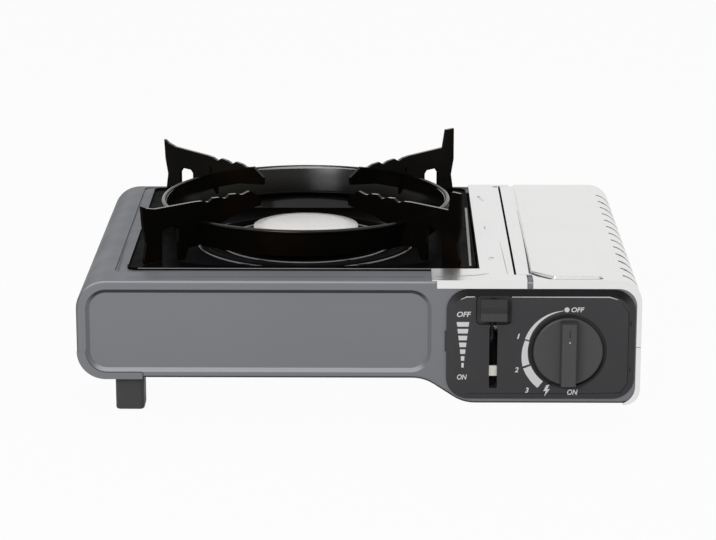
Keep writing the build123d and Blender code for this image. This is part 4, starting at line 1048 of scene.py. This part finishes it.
@dataclass
class CoverAndLid(Assembly):
    """Bright covers on the right, with the flaps of the louvre slits and painted shade along
    slits, creases and press marks.
    """

    # Painted shade on the covers' slopes that face left.
    steel: Finish = BrightSteel("bright_cover", (0.775, 0.775, 0.77), 0.34, crease_shade=0.9)
    dark: Finish = PrintedInk("crease_shadow", (0.02, 0.019, 0.018))
    # Grey ink for painted shade along the lid's front, the bridge's fold and the tab's curl.
    soft: Finish = PrintedInk("soft_crease", (0.3, 0.295, 0.285))
    crease_angle: float = 18.0
    slit_count: int = 13
    slit_step: Point = (0.0, 17.8, 0.0)
    first_slit: Point = (158.0, -108.0, 71.9)
    # Painted shadow along each slit's edge, over the sheet.
    slit_shadow_r: float = 14.0
    slit_shadow_proud: float = 0.03
    slit_shadow_side: Spot = (-1.75, -0.7)
    slit_shadow_angles: Spot = (31.0, 78.0)
    flap_r: float = 13.05
    flap_thick: float = 0.3
    flap_side: Spot = (-1.5, 1.5)
    flap_angles: Spot = (26.0, 82.0)
    cover_z: float = 85.9
    # Painted shade along the front tab's curl and the bridge's fold.
    tab_curl_shade: tuple[Spot, ...] = ((46.5, -112.9), (52.0, -112.9), (58.0, -112.3),
                                  (66.0, -111.0), (74.0, -108.8), (79.5, -105.2))
    tab_widths: tuple[float, ...] = (0.6, 1.0, 1.1, 1.1, 1.3, 0.5)
    bridge_fold: tuple[Spot, ...] = ((89.6, -25.2), (90.4, -80.0), (90.9, -106.3))
    # Painted shadow at the lanced tabs and at the gap's rear notch.
    press_mark_shadows: tuple[tuple[Spot, Spot, Spot], ...] = (
        ((91.0, 128.6), (94.2, 128.2), (1.5, 3.2)), ((79.6, 97.9), (81.0, 97.9), (2.6, 2.6)),
        ((82.0, 89.0), (83.6, 88.0), (0.8, 0.8)), ((81.4, -66.4), (83.4, -66.6), (0.9, 0.9)),
        ((83.6, -66.8), (83.6, -70.0), (0.4, 0.4)))
    lid_side: tuple[Spot, ...] = ((104.7, 60.0), (104.9, -12.0), (104.9, -60.0),
                                  (104.6, -104.0))
    lid_corner: tuple[Spot, ...] = ((104.6, -103.6), (110.0, -111.6), (117.0, -118.2))
    lid_front: tuple[Spot, ...] = ((117.0, -118.3), (132.0, -118.6), (147.4, -118.3))
    lid_shadow_spot: tuple[Spot, ...] = ((146.6, -116.9), (148.3, -116.9))

    def _flap(self, bm: bmesh.types.BMesh) -> None:
        """Adds one pressed flap under a slit, and a painted shadow along the slit's edge over the
        sheet.

        Args:
            bm: the mesh that takes them.
        """
        pressed = (self.flap_r - self.flap_thick, self.flap_r, self.flap_side, self.flap_angles)
        # Painted shadow along the slit's edge.
        turned = (self.slit_shadow_r - self.flap_thick, self.slit_shadow_r + self.slit_shadow_proud, self.slit_shadow_side,
                  self.slit_shadow_angles)
        for low, high, (near, far), angles in (pressed, turned):
            inner, outer = (arc((0.0, 0.0), *angles, 10, radius) for radius in (low, high))
            add_bar(bm, [[Vector((x, y, z)) * MM
                          for (x, z), y in ((rim, near), (rim, far), (root, far), (root, near))]
                         for rim, root in zip(outer, inner)])

    def louvre_flaps(self) -> bpy.types.Object:
        """Makes one flap under each slit, dark with painted shade, repeated along the lid.

        Returns:
            All the flaps.
        """
        material = self.dark.make()
        flap = mesh_piece("flap_shape", self._flap, material)
        board = GeometryBoard("louvre_flaps")
        row = board.row("slit", flap, self.slit_count, self.first_slit, self.slit_step)
        made = board.finish(row, material)
        bpy.data.objects.remove(flap, do_unlink=True)
        return made

    def lid_crease_shades(self) -> list[bpy.types.Object]:
        """Makes the painted shade at the foot of the lid's raised panel, and a painted shadow spot
        at its front right end.

        Returns:
            The dark lines, then the soft one.
        """
        dark = [Line(flat(self.cover_z, *self.lid_side), (0.15, 0.35, 0.9, 1.3)),
                Line(flat(self.cover_z, *self.lid_corner), (2.4, 3.0, 2.2)),
                Line(flat(self.cover_z, *self.lid_shadow_spot), (2.4, 2.4))]
        soft = [Line(flat(self.cover_z, *self.lid_front), (0.9, 0.9, 0.9))]
        return [line_piece("lid_crease", dark, self.dark.make()),
                line_piece("lid_fold", soft, self.soft.make())]

    def bridge_crease_shades(self) -> list[bpy.types.Object]:
        """Makes painted shade on the bridge: at the lanced tabs and the gap's rear notch, a faint
        fold, the tab's curl.

        Returns:
            The dark marks, then the soft lines.
        """
        dark = [Line(flat(self.cover_z, start, end), widths)
                for start, end, widths in self.press_mark_shadows]
        soft = [Line(flat(self.cover_z, *self.bridge_fold), (0.15, 0.4, 0.3)),
                Line(flat(self.cover_z, *self.tab_curl_shade), self.tab_widths)]
        return [line_piece("bridge_marks", dark, self.dark.make()),
                line_piece("bridge_fold", soft, self.soft.make())]

    def pieces(self) -> Made:
        """Makes the covers, the lid and the painted shade along their creases.

        Returns:
            Each piece with its body.
        """
        steel = self.steel.make()
        made = [(smooth_copy(self.frame, node, steel, self.crease_angle), body)
                for node, body in (("bridge_cover", "frame"), ("side_panel", "frame"),
                                   ("lid", "cartridge_lid"))]
        made.append((self.louvre_flaps(), "cartridge_lid"))
        made += [(piece, "cartridge_lid") for piece in self.lid_crease_shades()]
        return made + [(piece, "frame") for piece in self.bridge_crease_shades()]


@dataclass(frozen=True)
class ScaleBand:
    """One printed band round the knob: angles in degrees, radii at both ends in mm."""

    start: float
    end: float
    inner: Spot
    outer: Spot


@dataclass(frozen=True)
class Mark:
    """A short printed mark: centre, foot of the letters, height and width in mm."""

    text: str
    x: float
    z: float
    height: float
    width: float


@dataclass
class ControlPanel(Assembly):
    """Black fascia with its printed scale, and painted light and shade on its border, slots and
    the knob's gap.
    """

    # Painted shade on the fascia's border slopes that look up.
    plastic: Finish = MouldedPlastic("fascia_plastic", (0.054, 0.054, 0.0565), 0.45,
                                     shine=0.1, shade=0.95)
    ink: Finish = PrintedInk("white_ink", (0.74, 0.74, 0.75))
    # Ink for painted shade in the slots, the knob's gap and along the border.
    dark: Finish = PrintedInk("dark_ink", (0.004, 0.004, 0.004))
    glint: Finish = PrintedInk("edge_glint", (0.6, 0.6, 0.61))
    face_y: float = -124.4
    sunk: float = 0.02
    proud: float = 0.06
    knob: Spot = (127.5, 42.0)
    gap_r: float = 22.45
    gap_parts: int = 72
    gap_width: float = 1.1
    # The painted shadow in the knob's gap is wider at the left and below.
    gap_more_left: float = 0.5
    gap_more_below: float = 0.3
    bands: tuple[ScaleBand, ...] = (ScaleBand(97.0, 163.5, (25.6, 24.8), (25.9, 27.5)),
                                    ScaleBand(165.4, 199.2, (24.5, 24.7), (27.2, 29.2)),
                                    ScaleBand(202.0, 231.7, (24.3, 24.3), (29.3, 29.5)))
    band_step: float = 2.5
    stop_dot: tuple[Spot, float] = ((126.3, 68.25), 1.55)
    spark_dot: tuple[Spot, float] = ((116.3, 21.25), 0.85)
    spark: tuple[Spot, ...] = ((-12.9, -21.5), (-14.7, -25.3), (-13.1, -25.1), (-14.1, -28.7),
                               (-10.7, -23.9), (-12.3, -24.2), (-11.2, -21.5))
    marks: tuple[Mark, ...] = (Mark("OFF", 132.9, 66.9, 2.95, 7.9),
                               Mark("1", 97.2, 50.0, 3.2, 1.7), Mark("2", 96.4, 28.8, 3.2, 2.3),
                               Mark("3", 102.8, 15.8, 3.2, 2.3),
                               Mark("ON", 130.6, 14.5, 3.4, 6.4),
                               Mark("OFF", 64.0, 63.8, 3.2, 8.6), Mark("ON", 63.1, 24.1, 3.2, 6.0))
    letter_size: float = 1.38
    letter_slant: float = 0.2
    letter_weight: float = 0.1
    letter_depth: float = 0.03
    first_bar: Spot = (63.4, 59.0)
    bar_step: float = 4.32
    bar_count: int = 7
    bar_height: float = 2.85
    bar_foot: float = 0.88
    bar_widest: float = 7.7
    bar_narrowest: float = 1.5
    bar_loss: float = 0.142
    tick_x: float = 165.2
    tick_half: float = 0.3
    tick_spans: tuple[Spot, ...] = ((58.0, 61.2), (29.2, 31.6))
    light_left: tuple[Spot, ...] = ((62.0, 74.6), (65.5, 76.2), (70.5, 76.3))
    light_right: tuple[Spot, ...] = ((92.9, 76.2), (125.0, 76.2), (152.1, 76.2), (157.0, 74.6))
    border_foot: tuple[Spot, ...] = ((159.7, 72.6), (163.9, 66.5), (163.9, 40.0), (163.9, 22.0),
                                     (159.9, 15.7), (140.0, 15.2), (66.0, 15.2))

    def finishes(self) -> list[tuple[Finish, str]]:
        """The fascia."""
        return [(self.plastic, "control_panel")]

    def _print(self, name: str, outlines: Sequence[Sequence[Spot]],
               ink: bpy.types.Material) -> bpy.types.Object:
        """Prints flat shapes on the fascia's front."""
        return prism_piece(name, outlines, self.face_y + self.sunk, self.face_y - self.proud, ink)

    def _band(self, band: ScaleBand) -> list[Spot]:
        """Draws one band round the knob.

        Args:
            band: the band.

        Returns:
            Its corners, along the outer edge and back along the inner one.
        """
        steps = max(4, int((band.end - band.start) / self.band_step))
        rim, root = (arc(self.knob, band.start, band.end, steps, *radii)
                     for radii in (band.outer, band.inner))
        return rim + root[::-1]

    def scale_print(self, ink: bpy.types.Material) -> bpy.types.Object:
        """Makes the flame scale round the knob, its stop dot and the spark sign.

        Args:
            ink: the print's ink.

        Returns:
            The print.
        """
        outlines = [self._band(band) for band in self.bands]
        outlines += [arc(centre, 0, 360, 24, radius)[:-1]
                     for centre, radius in (self.stop_dot, self.spark_dot)]
        outlines.append([(self.knob[0] + x, self.knob[1] + z) for x, z in self.spark])
        return self._print("scale_print", outlines, ink)

    def _bar_shape(self, bm: bmesh.types.BMesh) -> None:
        """Adds a bar one millimetre wide, narrower at its foot.

        Args:
            bm: the mesh that takes it.
        """
        half, foot = self.bar_height / 2, self.bar_foot / 2
        add_prism(bm, [(-0.5, half), (-foot, -half), (foot, -half), (0.5, half)], self.sunk,
                  -self.proud)

    def lever_bars(self, ink: bpy.types.Material) -> bpy.types.Object:
        """Makes the bars beside the lever: one bar, repeated and narrowed downwards.

        Args:
            ink: the print's ink.

        Returns:
            All the bars.
        """
        shape = mesh_piece("bar_shape", self._bar_shape, ink)
        board = GeometryBoard("lever_bars")
        widest = board.size("Widest bar", self.bar_widest)
        narrowest = board.size("Narrowest bar", self.bar_narrowest)
        loss = board.size("Share lost a bar", -self.bar_loss)
        share = board.node("ShaderNodeMath", {"operation": "MULTIPLY_ADD"},
                           {0: board.node("GeometryNodeInputIndex", {}, {}), 1: loss, 2: 1.0})
        width = board.node("ShaderNodeMath", {"operation": "MULTIPLY"}, {0: share, 1: widest})
        width = board.node("ShaderNodeMath", {"operation": "MAXIMUM"}, {0: width, 1: narrowest})
        scale = board.node("ShaderNodeCombineXYZ", {}, {0: width, 1: 1.0, 2: 1.0})
        x, z = self.first_bar
        row = board.row("bar", shape, self.bar_count, (x, self.face_y, z),
                        (0.0, 0.0, -self.bar_step), scale)
        made = board.finish(row, ink)
        bpy.data.objects.remove(shape, do_unlink=True)
        return made

    def _letters(self, mark: Mark) -> bpy.types.Mesh:
        """Shapes one mark and sets it in its place.

        Args:
            mark: the mark.

        Returns:
            Its mesh.
        """
        curve = bpy.data.curves.new("mark", "FONT")
        curve.body = mark.text
        curve.size = mark.height * self.letter_size * MM
        curve.shear = self.letter_slant
        curve.offset = self.letter_weight * MM
        curve.extrude = self.letter_depth * MM
        holder = link_piece("mark", curve)
        mesh = final_mesh(holder)
        bpy.data.objects.remove(holder, do_unlink=True)
        low, high = (pick(v.co.x for v in mesh.vertices) for pick in (min, max))
        mesh.transform(Matrix.Translation((-(low + high) / 2, 0, 0)))
        mesh.transform(Matrix.Diagonal((mark.width * MM / (high - low), 1.0, 1.0, 1.0)))
        spot = Vector((mark.x, self.face_y - self.sunk, mark.z)) * MM
        turn = Euler((math.pi / 2, 0, 0)).to_matrix().to_4x4()
        mesh.transform(Matrix.Translation(spot) @ turn)
        return mesh

    def dial_marks(self, ink: bpy.types.Material) -> bpy.types.Object:
        """Makes plain ON, OFF and numbers at the stops of the knob and the lever.

        Args:
            ink: the print's ink.

        Returns:
            All the marks.
        """
        meshes = [self._letters(mark) for mark in self.marks]

        def build(bm: bmesh.types.BMesh) -> None:
            """Joins the marks."""
            for mesh in meshes:
                bm.from_mesh(mesh)

        return mesh_piece("dial_marks", build, ink)

    def border_ticks(self) -> bpy.types.Object:
        """Makes painted shade in the small slots of the fascia's right border.

        Returns:
            The shade of both slots.
        """
        half = self.tick_half
        left, right = self.tick_x - half, self.tick_x + half
        outlines = [[(left, low), (right, low), (right, high - half), (self.tick_x, high),
                     (left, high - half)] for low, high in self.tick_spans]
        return self._print("border_ticks", outlines, self.dark.make())

    def _gap_edges(self, part: int) -> tuple[Spot, Spot]:
        """Inner and outer edge of the painted shadow in the knob's gap, which is wider at the left
        and below.

        Args:
            part: which of the gap's parts starts here.

        Returns:
            Both points.
        """
        angle = math.tau * part / self.gap_parts
        away = Vector((math.cos(angle), math.sin(angle)))
        wide = self.gap_width + self.gap_more_left * max(0.0, -away.x)
        wide += self.gap_more_below * max(0.0, -away.y)
        inner, outer = (tuple(Vector(self.knob) + away * radius)
                        for radius in (self.gap_r, self.gap_r + wide))
        return inner, outer

    def knob_gap(self) -> bpy.types.Object:
        """Makes the painted shadow in the gap between the knob's disc and its well.

        Returns:
            The ring.
        """
        outlines = []
        for part in range(self.gap_parts):
            (near_in, near_out), (far_in, far_out) = map(self._gap_edges, (part, part + 1))
            outlines.append([near_in, near_out, far_out, far_in])
        return self._print("knob_gap", outlines, self.dark.make())

    def border_lines(self) -> list[bpy.types.Object]:
        """Makes the light on the border's upper inner edge and the shade along the others.

        Returns:
            The light lines, then the dark one.
        """
        light = [Line(upright(self.face_y, *self.light_left), (0.3, 0.7, 0.5), FORWARD),
                 Line(upright(self.face_y, *self.light_right), (0.45, 0.6, 0.7, 0.3), FORWARD)]
        shade = [Line(upright(self.face_y, *self.border_foot),
                      (0.3, 0.5, 0.5, 0.5, 0.5, 0.45, 0.3), FORWARD)]
        return [line_piece("border_light", light, self.glint.make()),
                line_piece("border_shade", shade, self.dark.make())]

    def pieces(self) -> Made:
        """Makes the printed pieces, the painted shade in the slots and the knob's gap, and the
        border's lines.

        Returns:
            Each piece with its body.
        """
        ink = self.ink.make()
        made = [self.scale_print(ink), self.lever_bars(ink), self.dial_marks(ink),
                self.border_ticks(), self.knob_gap(), *self.border_lines()]
        return [(piece, "frame") for piece in made]


@dataclass
class Controls(Assembly):
    """Knob, lock lever and their metal parts."""

    knob: Finish = MouldedPlastic("knob_plastic", (0.06, 0.06, 0.062), 0.42, 0.08)
    lever: Finish = MouldedPlastic("lever_plastic", (0.02, 0.02, 0.021), 0.36, 0.06)
    plated: Finish = BrightSteel("plated_steel", (0.62, 0.6, 0.54), 0.3, Grain.ALONG_Z)
    dark: Finish = PrintedInk("pointer_dark", (0.006, 0.006, 0.006))
    white: Finish = PrintedInk("pointer_white", (0.7, 0.7, 0.7))
    grip_y: float = -135.0
    set_back: float = 0.04
    print_depth: float = 0.06
    pointer_x: float = 127.8
    pointer_half: float = 0.28
    pointer_span: Spot = (53.2, 58.0)
    dot_z: float = 50.4
    dot_r: float = 0.45

    def finishes(self) -> list[tuple[Finish, str]]:
        """Lists the nodes behind the fascia.

        Returns:
            Lever and plated steel.
        """
        return [(self.lever, "lock_lever_button lock_lever_plate"),
                (self.plated, "lever_stop carriage_pin lid_hinge_pins diaphragm_cover "
                              "spark_electrode electrode_clip")]

    def _on_grip(self, name: str, outline: Sequence[Spot], ink: Finish) -> bpy.types.Object:
        """Prints a flat mark on the grip's front."""
        return prism_piece(name, [outline], self.grip_y + self.print_depth, self.grip_y,
                           ink.make())

    def pointer(self) -> bpy.types.Object:
        """Makes the dark line that points from the grip to the scale.

        Returns:
            The line.
        """
        low, high = self.pointer_span
        left, right = self.pointer_x - self.pointer_half, self.pointer_x + self.pointer_half
        outline = [(left, low), (right, low), (right, high), (left, high)]
        return self._on_grip("knob_pointer", outline, self.dark)

    def dot(self) -> bpy.types.Object:
        """The white dot under the pointer."""
        outline = arc((self.pointer_x, self.dot_z), 0, 360, 16, self.dot_r)[:-1]
        return self._on_grip("knob_dot", outline, self.white)

    def pieces(self) -> Made:
        """Makes the knob, with its grip's front set back for the print, and its marks.

        Returns:
            Each piece with its body.
        """
        knob = smooth_copy(self.frame, "control_knob", self.knob.make())
        for vertex in knob.data.vertices:
            if vertex.co.y < (self.grip_y + self.set_back / 4) * MM:
                vertex.co.y = (self.grip_y + self.set_back) * MM
        return [(piece, "knob") for piece in (knob, self.pointer(), self.dot())]


@dataclass
class GasTrain(Assembly):
    """Valve, regulator, socket, pipe and injector."""

    zinc: Finish = CastMetal("zinc_casting", (0.5, 0.5, 0.51))
    brass: Finish = BrightSteel("turned_brass", (0.72, 0.5, 0.22), 0.28, Grain.ALONG_X)
    copper: Finish = BrightSteel("drawn_copper", (0.75, 0.42, 0.28), 0.3)
    seal: Finish = SoftRubber("seal_rubber", (0.015, 0.015, 0.015))
    screws: Finish = BrightSteel("screw_steel", (0.7, 0.7, 0.7), 0.22, Grain.ALONG_Z)

    def finishes(self) -> list[tuple[Finish, str]]:
        """Lists all nodes that carry gas, and the screws.

        Returns:
            The whole gas train and all screws.
        """
        return [(self.zinc, "valve_body regulator_body cartridge_socket"),
                (self.brass, "valve_spindle pipe_nuts injector"), (self.copper, "gas_pipe"),
                (self.seal, "inlet_seal"),
                (self.screws, "panel_screws regulator_screws burner_screws foot_screws")]


@dataclass
class Burner(Assembly):
    """Burner head, cap, mixing tube and ignition."""

    cap: Finish = SpunMetal("cap_aluminium", (0.88, 0.87, 0.85), (-0.0354, 0.015, 0.0))
    cast: Finish = CastMetal("head_casting", (0.52, 0.51, 0.49), 0.44)
    tube: Finish = BrightSteel("mixing_tube", (0.55, 0.55, 0.56), 0.38, Grain.ALONG_X)
    ceramic: Finish = MouldedPlastic("white_ceramic", (0.72, 0.7, 0.66), 0.2, 0.04)
    igniter: Finish = MouldedPlastic("igniter_plastic", (0.3, 0.035, 0.03), 0.38)
    lead: Finish = MouldedPlastic("lead_cover", (0.02, 0.02, 0.02), 0.42, 0.05)

    def finishes(self) -> list[tuple[Finish, str]]:
        """Lists the burner's nodes.

        Returns:
            Everything but the cap.
        """
        return [(self.cast, "burner_head"), (self.tube, "mixing_tube"),
                (self.ceramic, "electrode_insulator"), (self.igniter, "piezo_igniter"),
                (self.lead, "ignition_lead")]

    def pieces(self) -> Made:
        """Makes the brushed cap."""
        return [(smooth_copy(self.frame, "burner_cap", self.cap.make()), "frame")]


@dataclass(frozen=True)
class RimHighlight:
    """A stretch of painted highlight under the ring's rim: angles, width and the way it faces."""

    start: float
    end: float
    width: float
    normal: Point
    tip: float = 0.12

    def line(self, centre: Spot, radius: float, z: float, lift: float, parts: int = 24) -> Line:
        """Draws the stretch as a line that tapers to both ends.

        Args:
            centre: the ring's centre, in millimetres.
            radius: distance of the line from it.
            z: the line's height.
            lift: how far it stands off.
            parts: how many parts it has.

        Returns:
            The line.
        """
        widths = [self.tip + self.width * math.sin(math.pi * i / parts)
                  for i in range(parts + 1)]
        return Line(flat(z, *arc(centre, self.start, self.end, parts, radius)), widths,
                    self.normal, lift)


@dataclass
class PanSupport(Assembly):
    """Enamelled tray, ring and wings."""

    tray: Finish = GlossEnamel("tray_enamel", (0.0030, 0.0030, 0.0032))
    ring: Finish = GlossEnamel("ring_enamel", (0.0034, 0.0030, 0.0026), GlassCoat.RING,
                               gloss=0.2, fade=(0.086, 0.106))
    wing: Finish = GlossEnamel("wing_enamel", (0.0034, 0.0030, 0.0026), GlassCoat.WING)
    bead: Finish = GlossEnamel("bead_enamel", (0.004, 0.0036, 0.0034), GlassCoat.BEAD,
                               gloss=0.12, wave=0.5, density=2.2)
    glint: Finish = PrintedInk("tray_glint", (0.42, 0.41, 0.39))
    # Light ink for the painted highlights under the ring's rim.
    rim: Finish = PrintedInk("rim_wear", (0.55, 0.54, 0.52))
    # Grey ink for the painted highlight along the tray's lip.
    lip: Finish = PrintedInk("lip_wear", (0.3, 0.3, 0.31))
    centre: Spot = (-35.4, 15.0)
    lip_z: float = 86.1
    right_edge: tuple[Spot, ...] = ((70.7, 65.0), (69.8, -12.0), (68.8, -88.0))
    front_drop: float = 0.5
    front_edge: tuple[Spot, ...] = ((-136.0, -93.5), (-40.0, -93.5), (64.0, -93.5))
    left_edge: tuple[Spot, ...] = ((-142.7, -86.0), (-142.7, 20.0), (-142.7, 116.0))
    # Painted highlight stretches under the ring's rim.
    highlight_r: float = 90.75
    highlight_z: float = 104.6
    highlight_lift: float = 0.12
    wear: tuple[RimHighlight, ...] = (RimHighlight(66.0, 120.0, 1.3, (0.0, -1.0, 0.3)),
                                RimHighlight(-24.0, 18.0, 1.2, (-1.0, 0.0, 0.3)),
                                RimHighlight(165.0, 200.0, 0.8, (1.0, 0.0, 0.3)))
    bead_radii: tuple[float, ...] = (56.2, 70.2)
    bead_r: float = 0.9
    bead_z: float = 75.2
    bead_sides: int = 12
    bead_parts: int = 160

    def finishes(self) -> list[tuple[Finish, str]]:
        """The wings and their studs."""
        return [(self.wing, "rear_right_wing rear_left_wing front_left_wing front_right_wing "
                            "wing_studs")]

    def tray_edge_light(self) -> bpy.types.Object:
        """Light on the tray's right lip."""
        line = Line(flat(self.lip_z, *self.right_edge), (1.5, 1.7, 1.3))
        return line_piece("tray_edge_light", [line], self.glint.make())

    def lip_light(self) -> bpy.types.Object:
        """Makes the painted highlight along the tray's lip.

        Returns:
            The highlight, in front and on the left.
        """
        lines = [Line(flat(self.lip_z - self.front_drop, *self.front_edge), (0.5, 0.6, 0.5),
                      FORWARD), Line(flat(self.lip_z, *self.left_edge), (0.5, 0.5, 0.3))]
        return line_piece("lip_light", lines, self.lip.make())

    def rim_light(self) -> bpy.types.Object:
        """Makes the painted highlights under the ring's rim.

        Returns:
            All the stretches.
        """
        lines = [highlight.line(self.centre, self.highlight_r, self.highlight_z, self.highlight_lift)
                 for highlight in self.wear]
        return line_piece("rim_light", lines, self.rim.make())

    def tray_beads(self, material: bpy.types.Material) -> bpy.types.Object:
        """Makes the pressed beads round the burner, as circles swept by a round profile.

        Args:
            material: their finish.

        Returns:
            One piece with all the beads.
        """
        board = GeometryBoard("tray_beads")
        place = board.size("Centre", tuple(Vector((*self.centre, self.bead_z)) * MM), "Vector")
        tube = board.size("Bead radius", self.bead_r * MM)
        circle = "GeometryNodeCurvePrimitiveCircle"
        profile = board.node(circle, {"mode": "RADIUS"},
                             {"Resolution": self.bead_sides, "Radius": tube})
        join = board.tree.nodes.new("GeometryNodeJoinGeometry")
        for number, radius in enumerate(self.bead_radii, 1):
            size = board.size(f"Circle {number} radius", radius * MM)
            path = board.node(circle, {"mode": "RADIUS"},
                              {"Resolution": self.bead_parts, "Radius": size})
            hoop = board.node("GeometryNodeCurveToMesh", {}, {"Curve": path,
                                                              "Profile Curve": profile})
            board.tree.links.new(hoop, join.inputs[0])
        moved = board.node("GeometryNodeTransform", {}, {"Geometry": join.outputs[0],
                                                         "Translation": place})
        return board.finish(board.node("GeometryNodeSetShadeSmooth", {}, {0: moved}), material)

    def pieces(self) -> Made:
        """Makes the tray and the ring, shaded round, with their beads and painted highlights on
        lips and rim.

        Returns:
            Each piece with its body.
        """
        bead, edge = self.bead.make(), self.tray_edge_light()
        return [(smooth_copy(self.frame, "drip_tray", self.tray.make()), "tray"),
                (smooth_copy(self.frame, "support_ring", self.ring.make()), "pan_support"),
                (self.rim_light(), "pan_support"), (self.lip_light(), "tray"),
                (self.tray_beads(bead), "tray"), (edge, "tray")]


# ------------------------------------------------------------------ studio
@dataclass(frozen=True)
class SoftBox:
    """A square lamp: place and size in metres, power in watts, and whether steel mirrors it."""

    name: str
    place: Point
    size: Spot
    watts: float
    mirrored: bool
    aim: Point = (0.0, 0.0, 0.05)

    def hang(self) -> None:
        """Hangs the lamp and turns it to its aim."""
        light = bpy.data.lights.new(self.name, "AREA")
        light.shape = "RECTANGLE"
        light.size, light.size_y = self.size
        light.energy = self.watts
        holder = link_piece(self.name, light)
        holder.location = self.place
        way = Vector(self.aim) - Vector(self.place)
        holder.rotation_euler = way.to_track_quat("-Z", "Y").to_euler()
        holder.visible_glossy = self.mirrored


@dataclass
class Studio:
    """Floor, world, lamps and camera."""

    lens: float = 136.04
    sensor: float = 36.0
    eye: Point = (0.01212, -1.7026, 0.511)
    tilt: float = 14.836
    yaw: float = 0.449
    soft_light: float = 0.5
    floor_grey: Colour = (0.86, 0.86, 0.86)
    floor_glow: float = 0.95
    floor_corners: tuple[Spot, ...] = ((-4, -3), (4, -3), (4, 5), (-4, 5))
    boxes: tuple[SoftBox, ...] = (
        SoftBox("top_box", (-0.2, 0.4, 1.4), (1.4, 0.9), 2.6, False),
        SoftBox("front_box", (-0.5, -1.6, 0.7), (0.7, 0.3), 12.0, True))

    def _seen(self, board: ShaderBoard) -> Shade:
        """Tells whether a ray is seen, straight, by a mirror or through glass.

        Args:
            board: the tree that asks.

        Returns:
            1 for a straight, mirrored or transmitted ray, and 0 for any other.
        """
        rays = board.node("ShaderNodeLightPath", {}, {}).outputs
        straight, mirror, glass = (Shade(board, rays[f"Is {kind} Ray"])
                                   for kind in ("Camera", "Glossy", "Transmission"))
        return (straight + mirror + glass).least(1.0)

    def floor(self) -> None:
        """Lays a pale floor that keeps the stove's shadow."""
        board = ShaderBoard("pale_floor")
        plain = board.node("ShaderNodeBsdfDiffuse", {}, {"Color": self.floor_grey})
        glow = board.node("ShaderNodeEmission", {}, {"Color": (1.0, 1.0, 1.0), "Strength": 1.0})
        mix = board.node("ShaderNodeMixShader", {}, {0: self._seen(board) * self.floor_glow,
                                                     1: plain.outputs[0], 2: glow.outputs[0]})
        board.close(mix.outputs[0])

        def build(bm: bmesh.types.BMesh) -> None:
            """Adds one wide face."""
            bm.faces.new([bm.verts.new(corner) for corner in flat(0.0, *self.floor_corners)])

        mesh_piece("floor", build, board.material)

    def world(self) -> None:
        """Sets soft light from all round, and white where it is seen."""
        world = bpy.data.worlds.new("studio")
        bpy.context.scene.world = world
        board = ShaderBoard("studio", world)
        soft = board.node("ShaderNodeBackground", {}, {"Strength": self.soft_light})
        white = board.node("ShaderNodeBackground", {}, {"Color": (1.0, 1.0, 1.0)})
        mix = board.node("ShaderNodeMixShader", {}, {0: self._seen(board), 1: soft.outputs[0],
                                                     2: white.outputs[0]})
        board.close(mix.outputs[0], "ShaderNodeOutputWorld")

    def camera(self) -> None:
        """Sets a long lens in front, slightly above."""
        data = bpy.data.cameras.new("camera")
        data.lens = self.lens
        data.sensor_width = self.sensor
        holder = link_piece("camera", data)
        holder.location = self.eye
        holder.rotation_euler = (math.radians(90 - self.tilt), 0.0, math.radians(self.yaw))
        bpy.context.scene.camera = holder

    def build(self) -> None:
        """Sets the whole studio."""
        self.floor()
        self.world()
        for box in self.boxes:
            box.hang()
        self.camera()
        bpy.context.scene.view_settings.view_transform = "Standard"


def main() -> None:
    """Builds the stove's looks in order."""
    logging.basicConfig(level=logging.INFO, format="%(name)s %(message)s")
    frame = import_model()
    Studio().build()
    made: Made = []
    for kind in (Body, CoverAndLid, ControlPanel, Controls, GasTrain, Burner, PanSupport):
        assembly = kind(frame)
        assembly.dress()
        made += assembly.pieces()
    for piece, body in made:
        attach(piece, body)
        LOG.info("piece %s rides on %s with %d faces", piece.name, body,
                 len(piece.data.polygons))


if __name__ == "__main__":
    main()
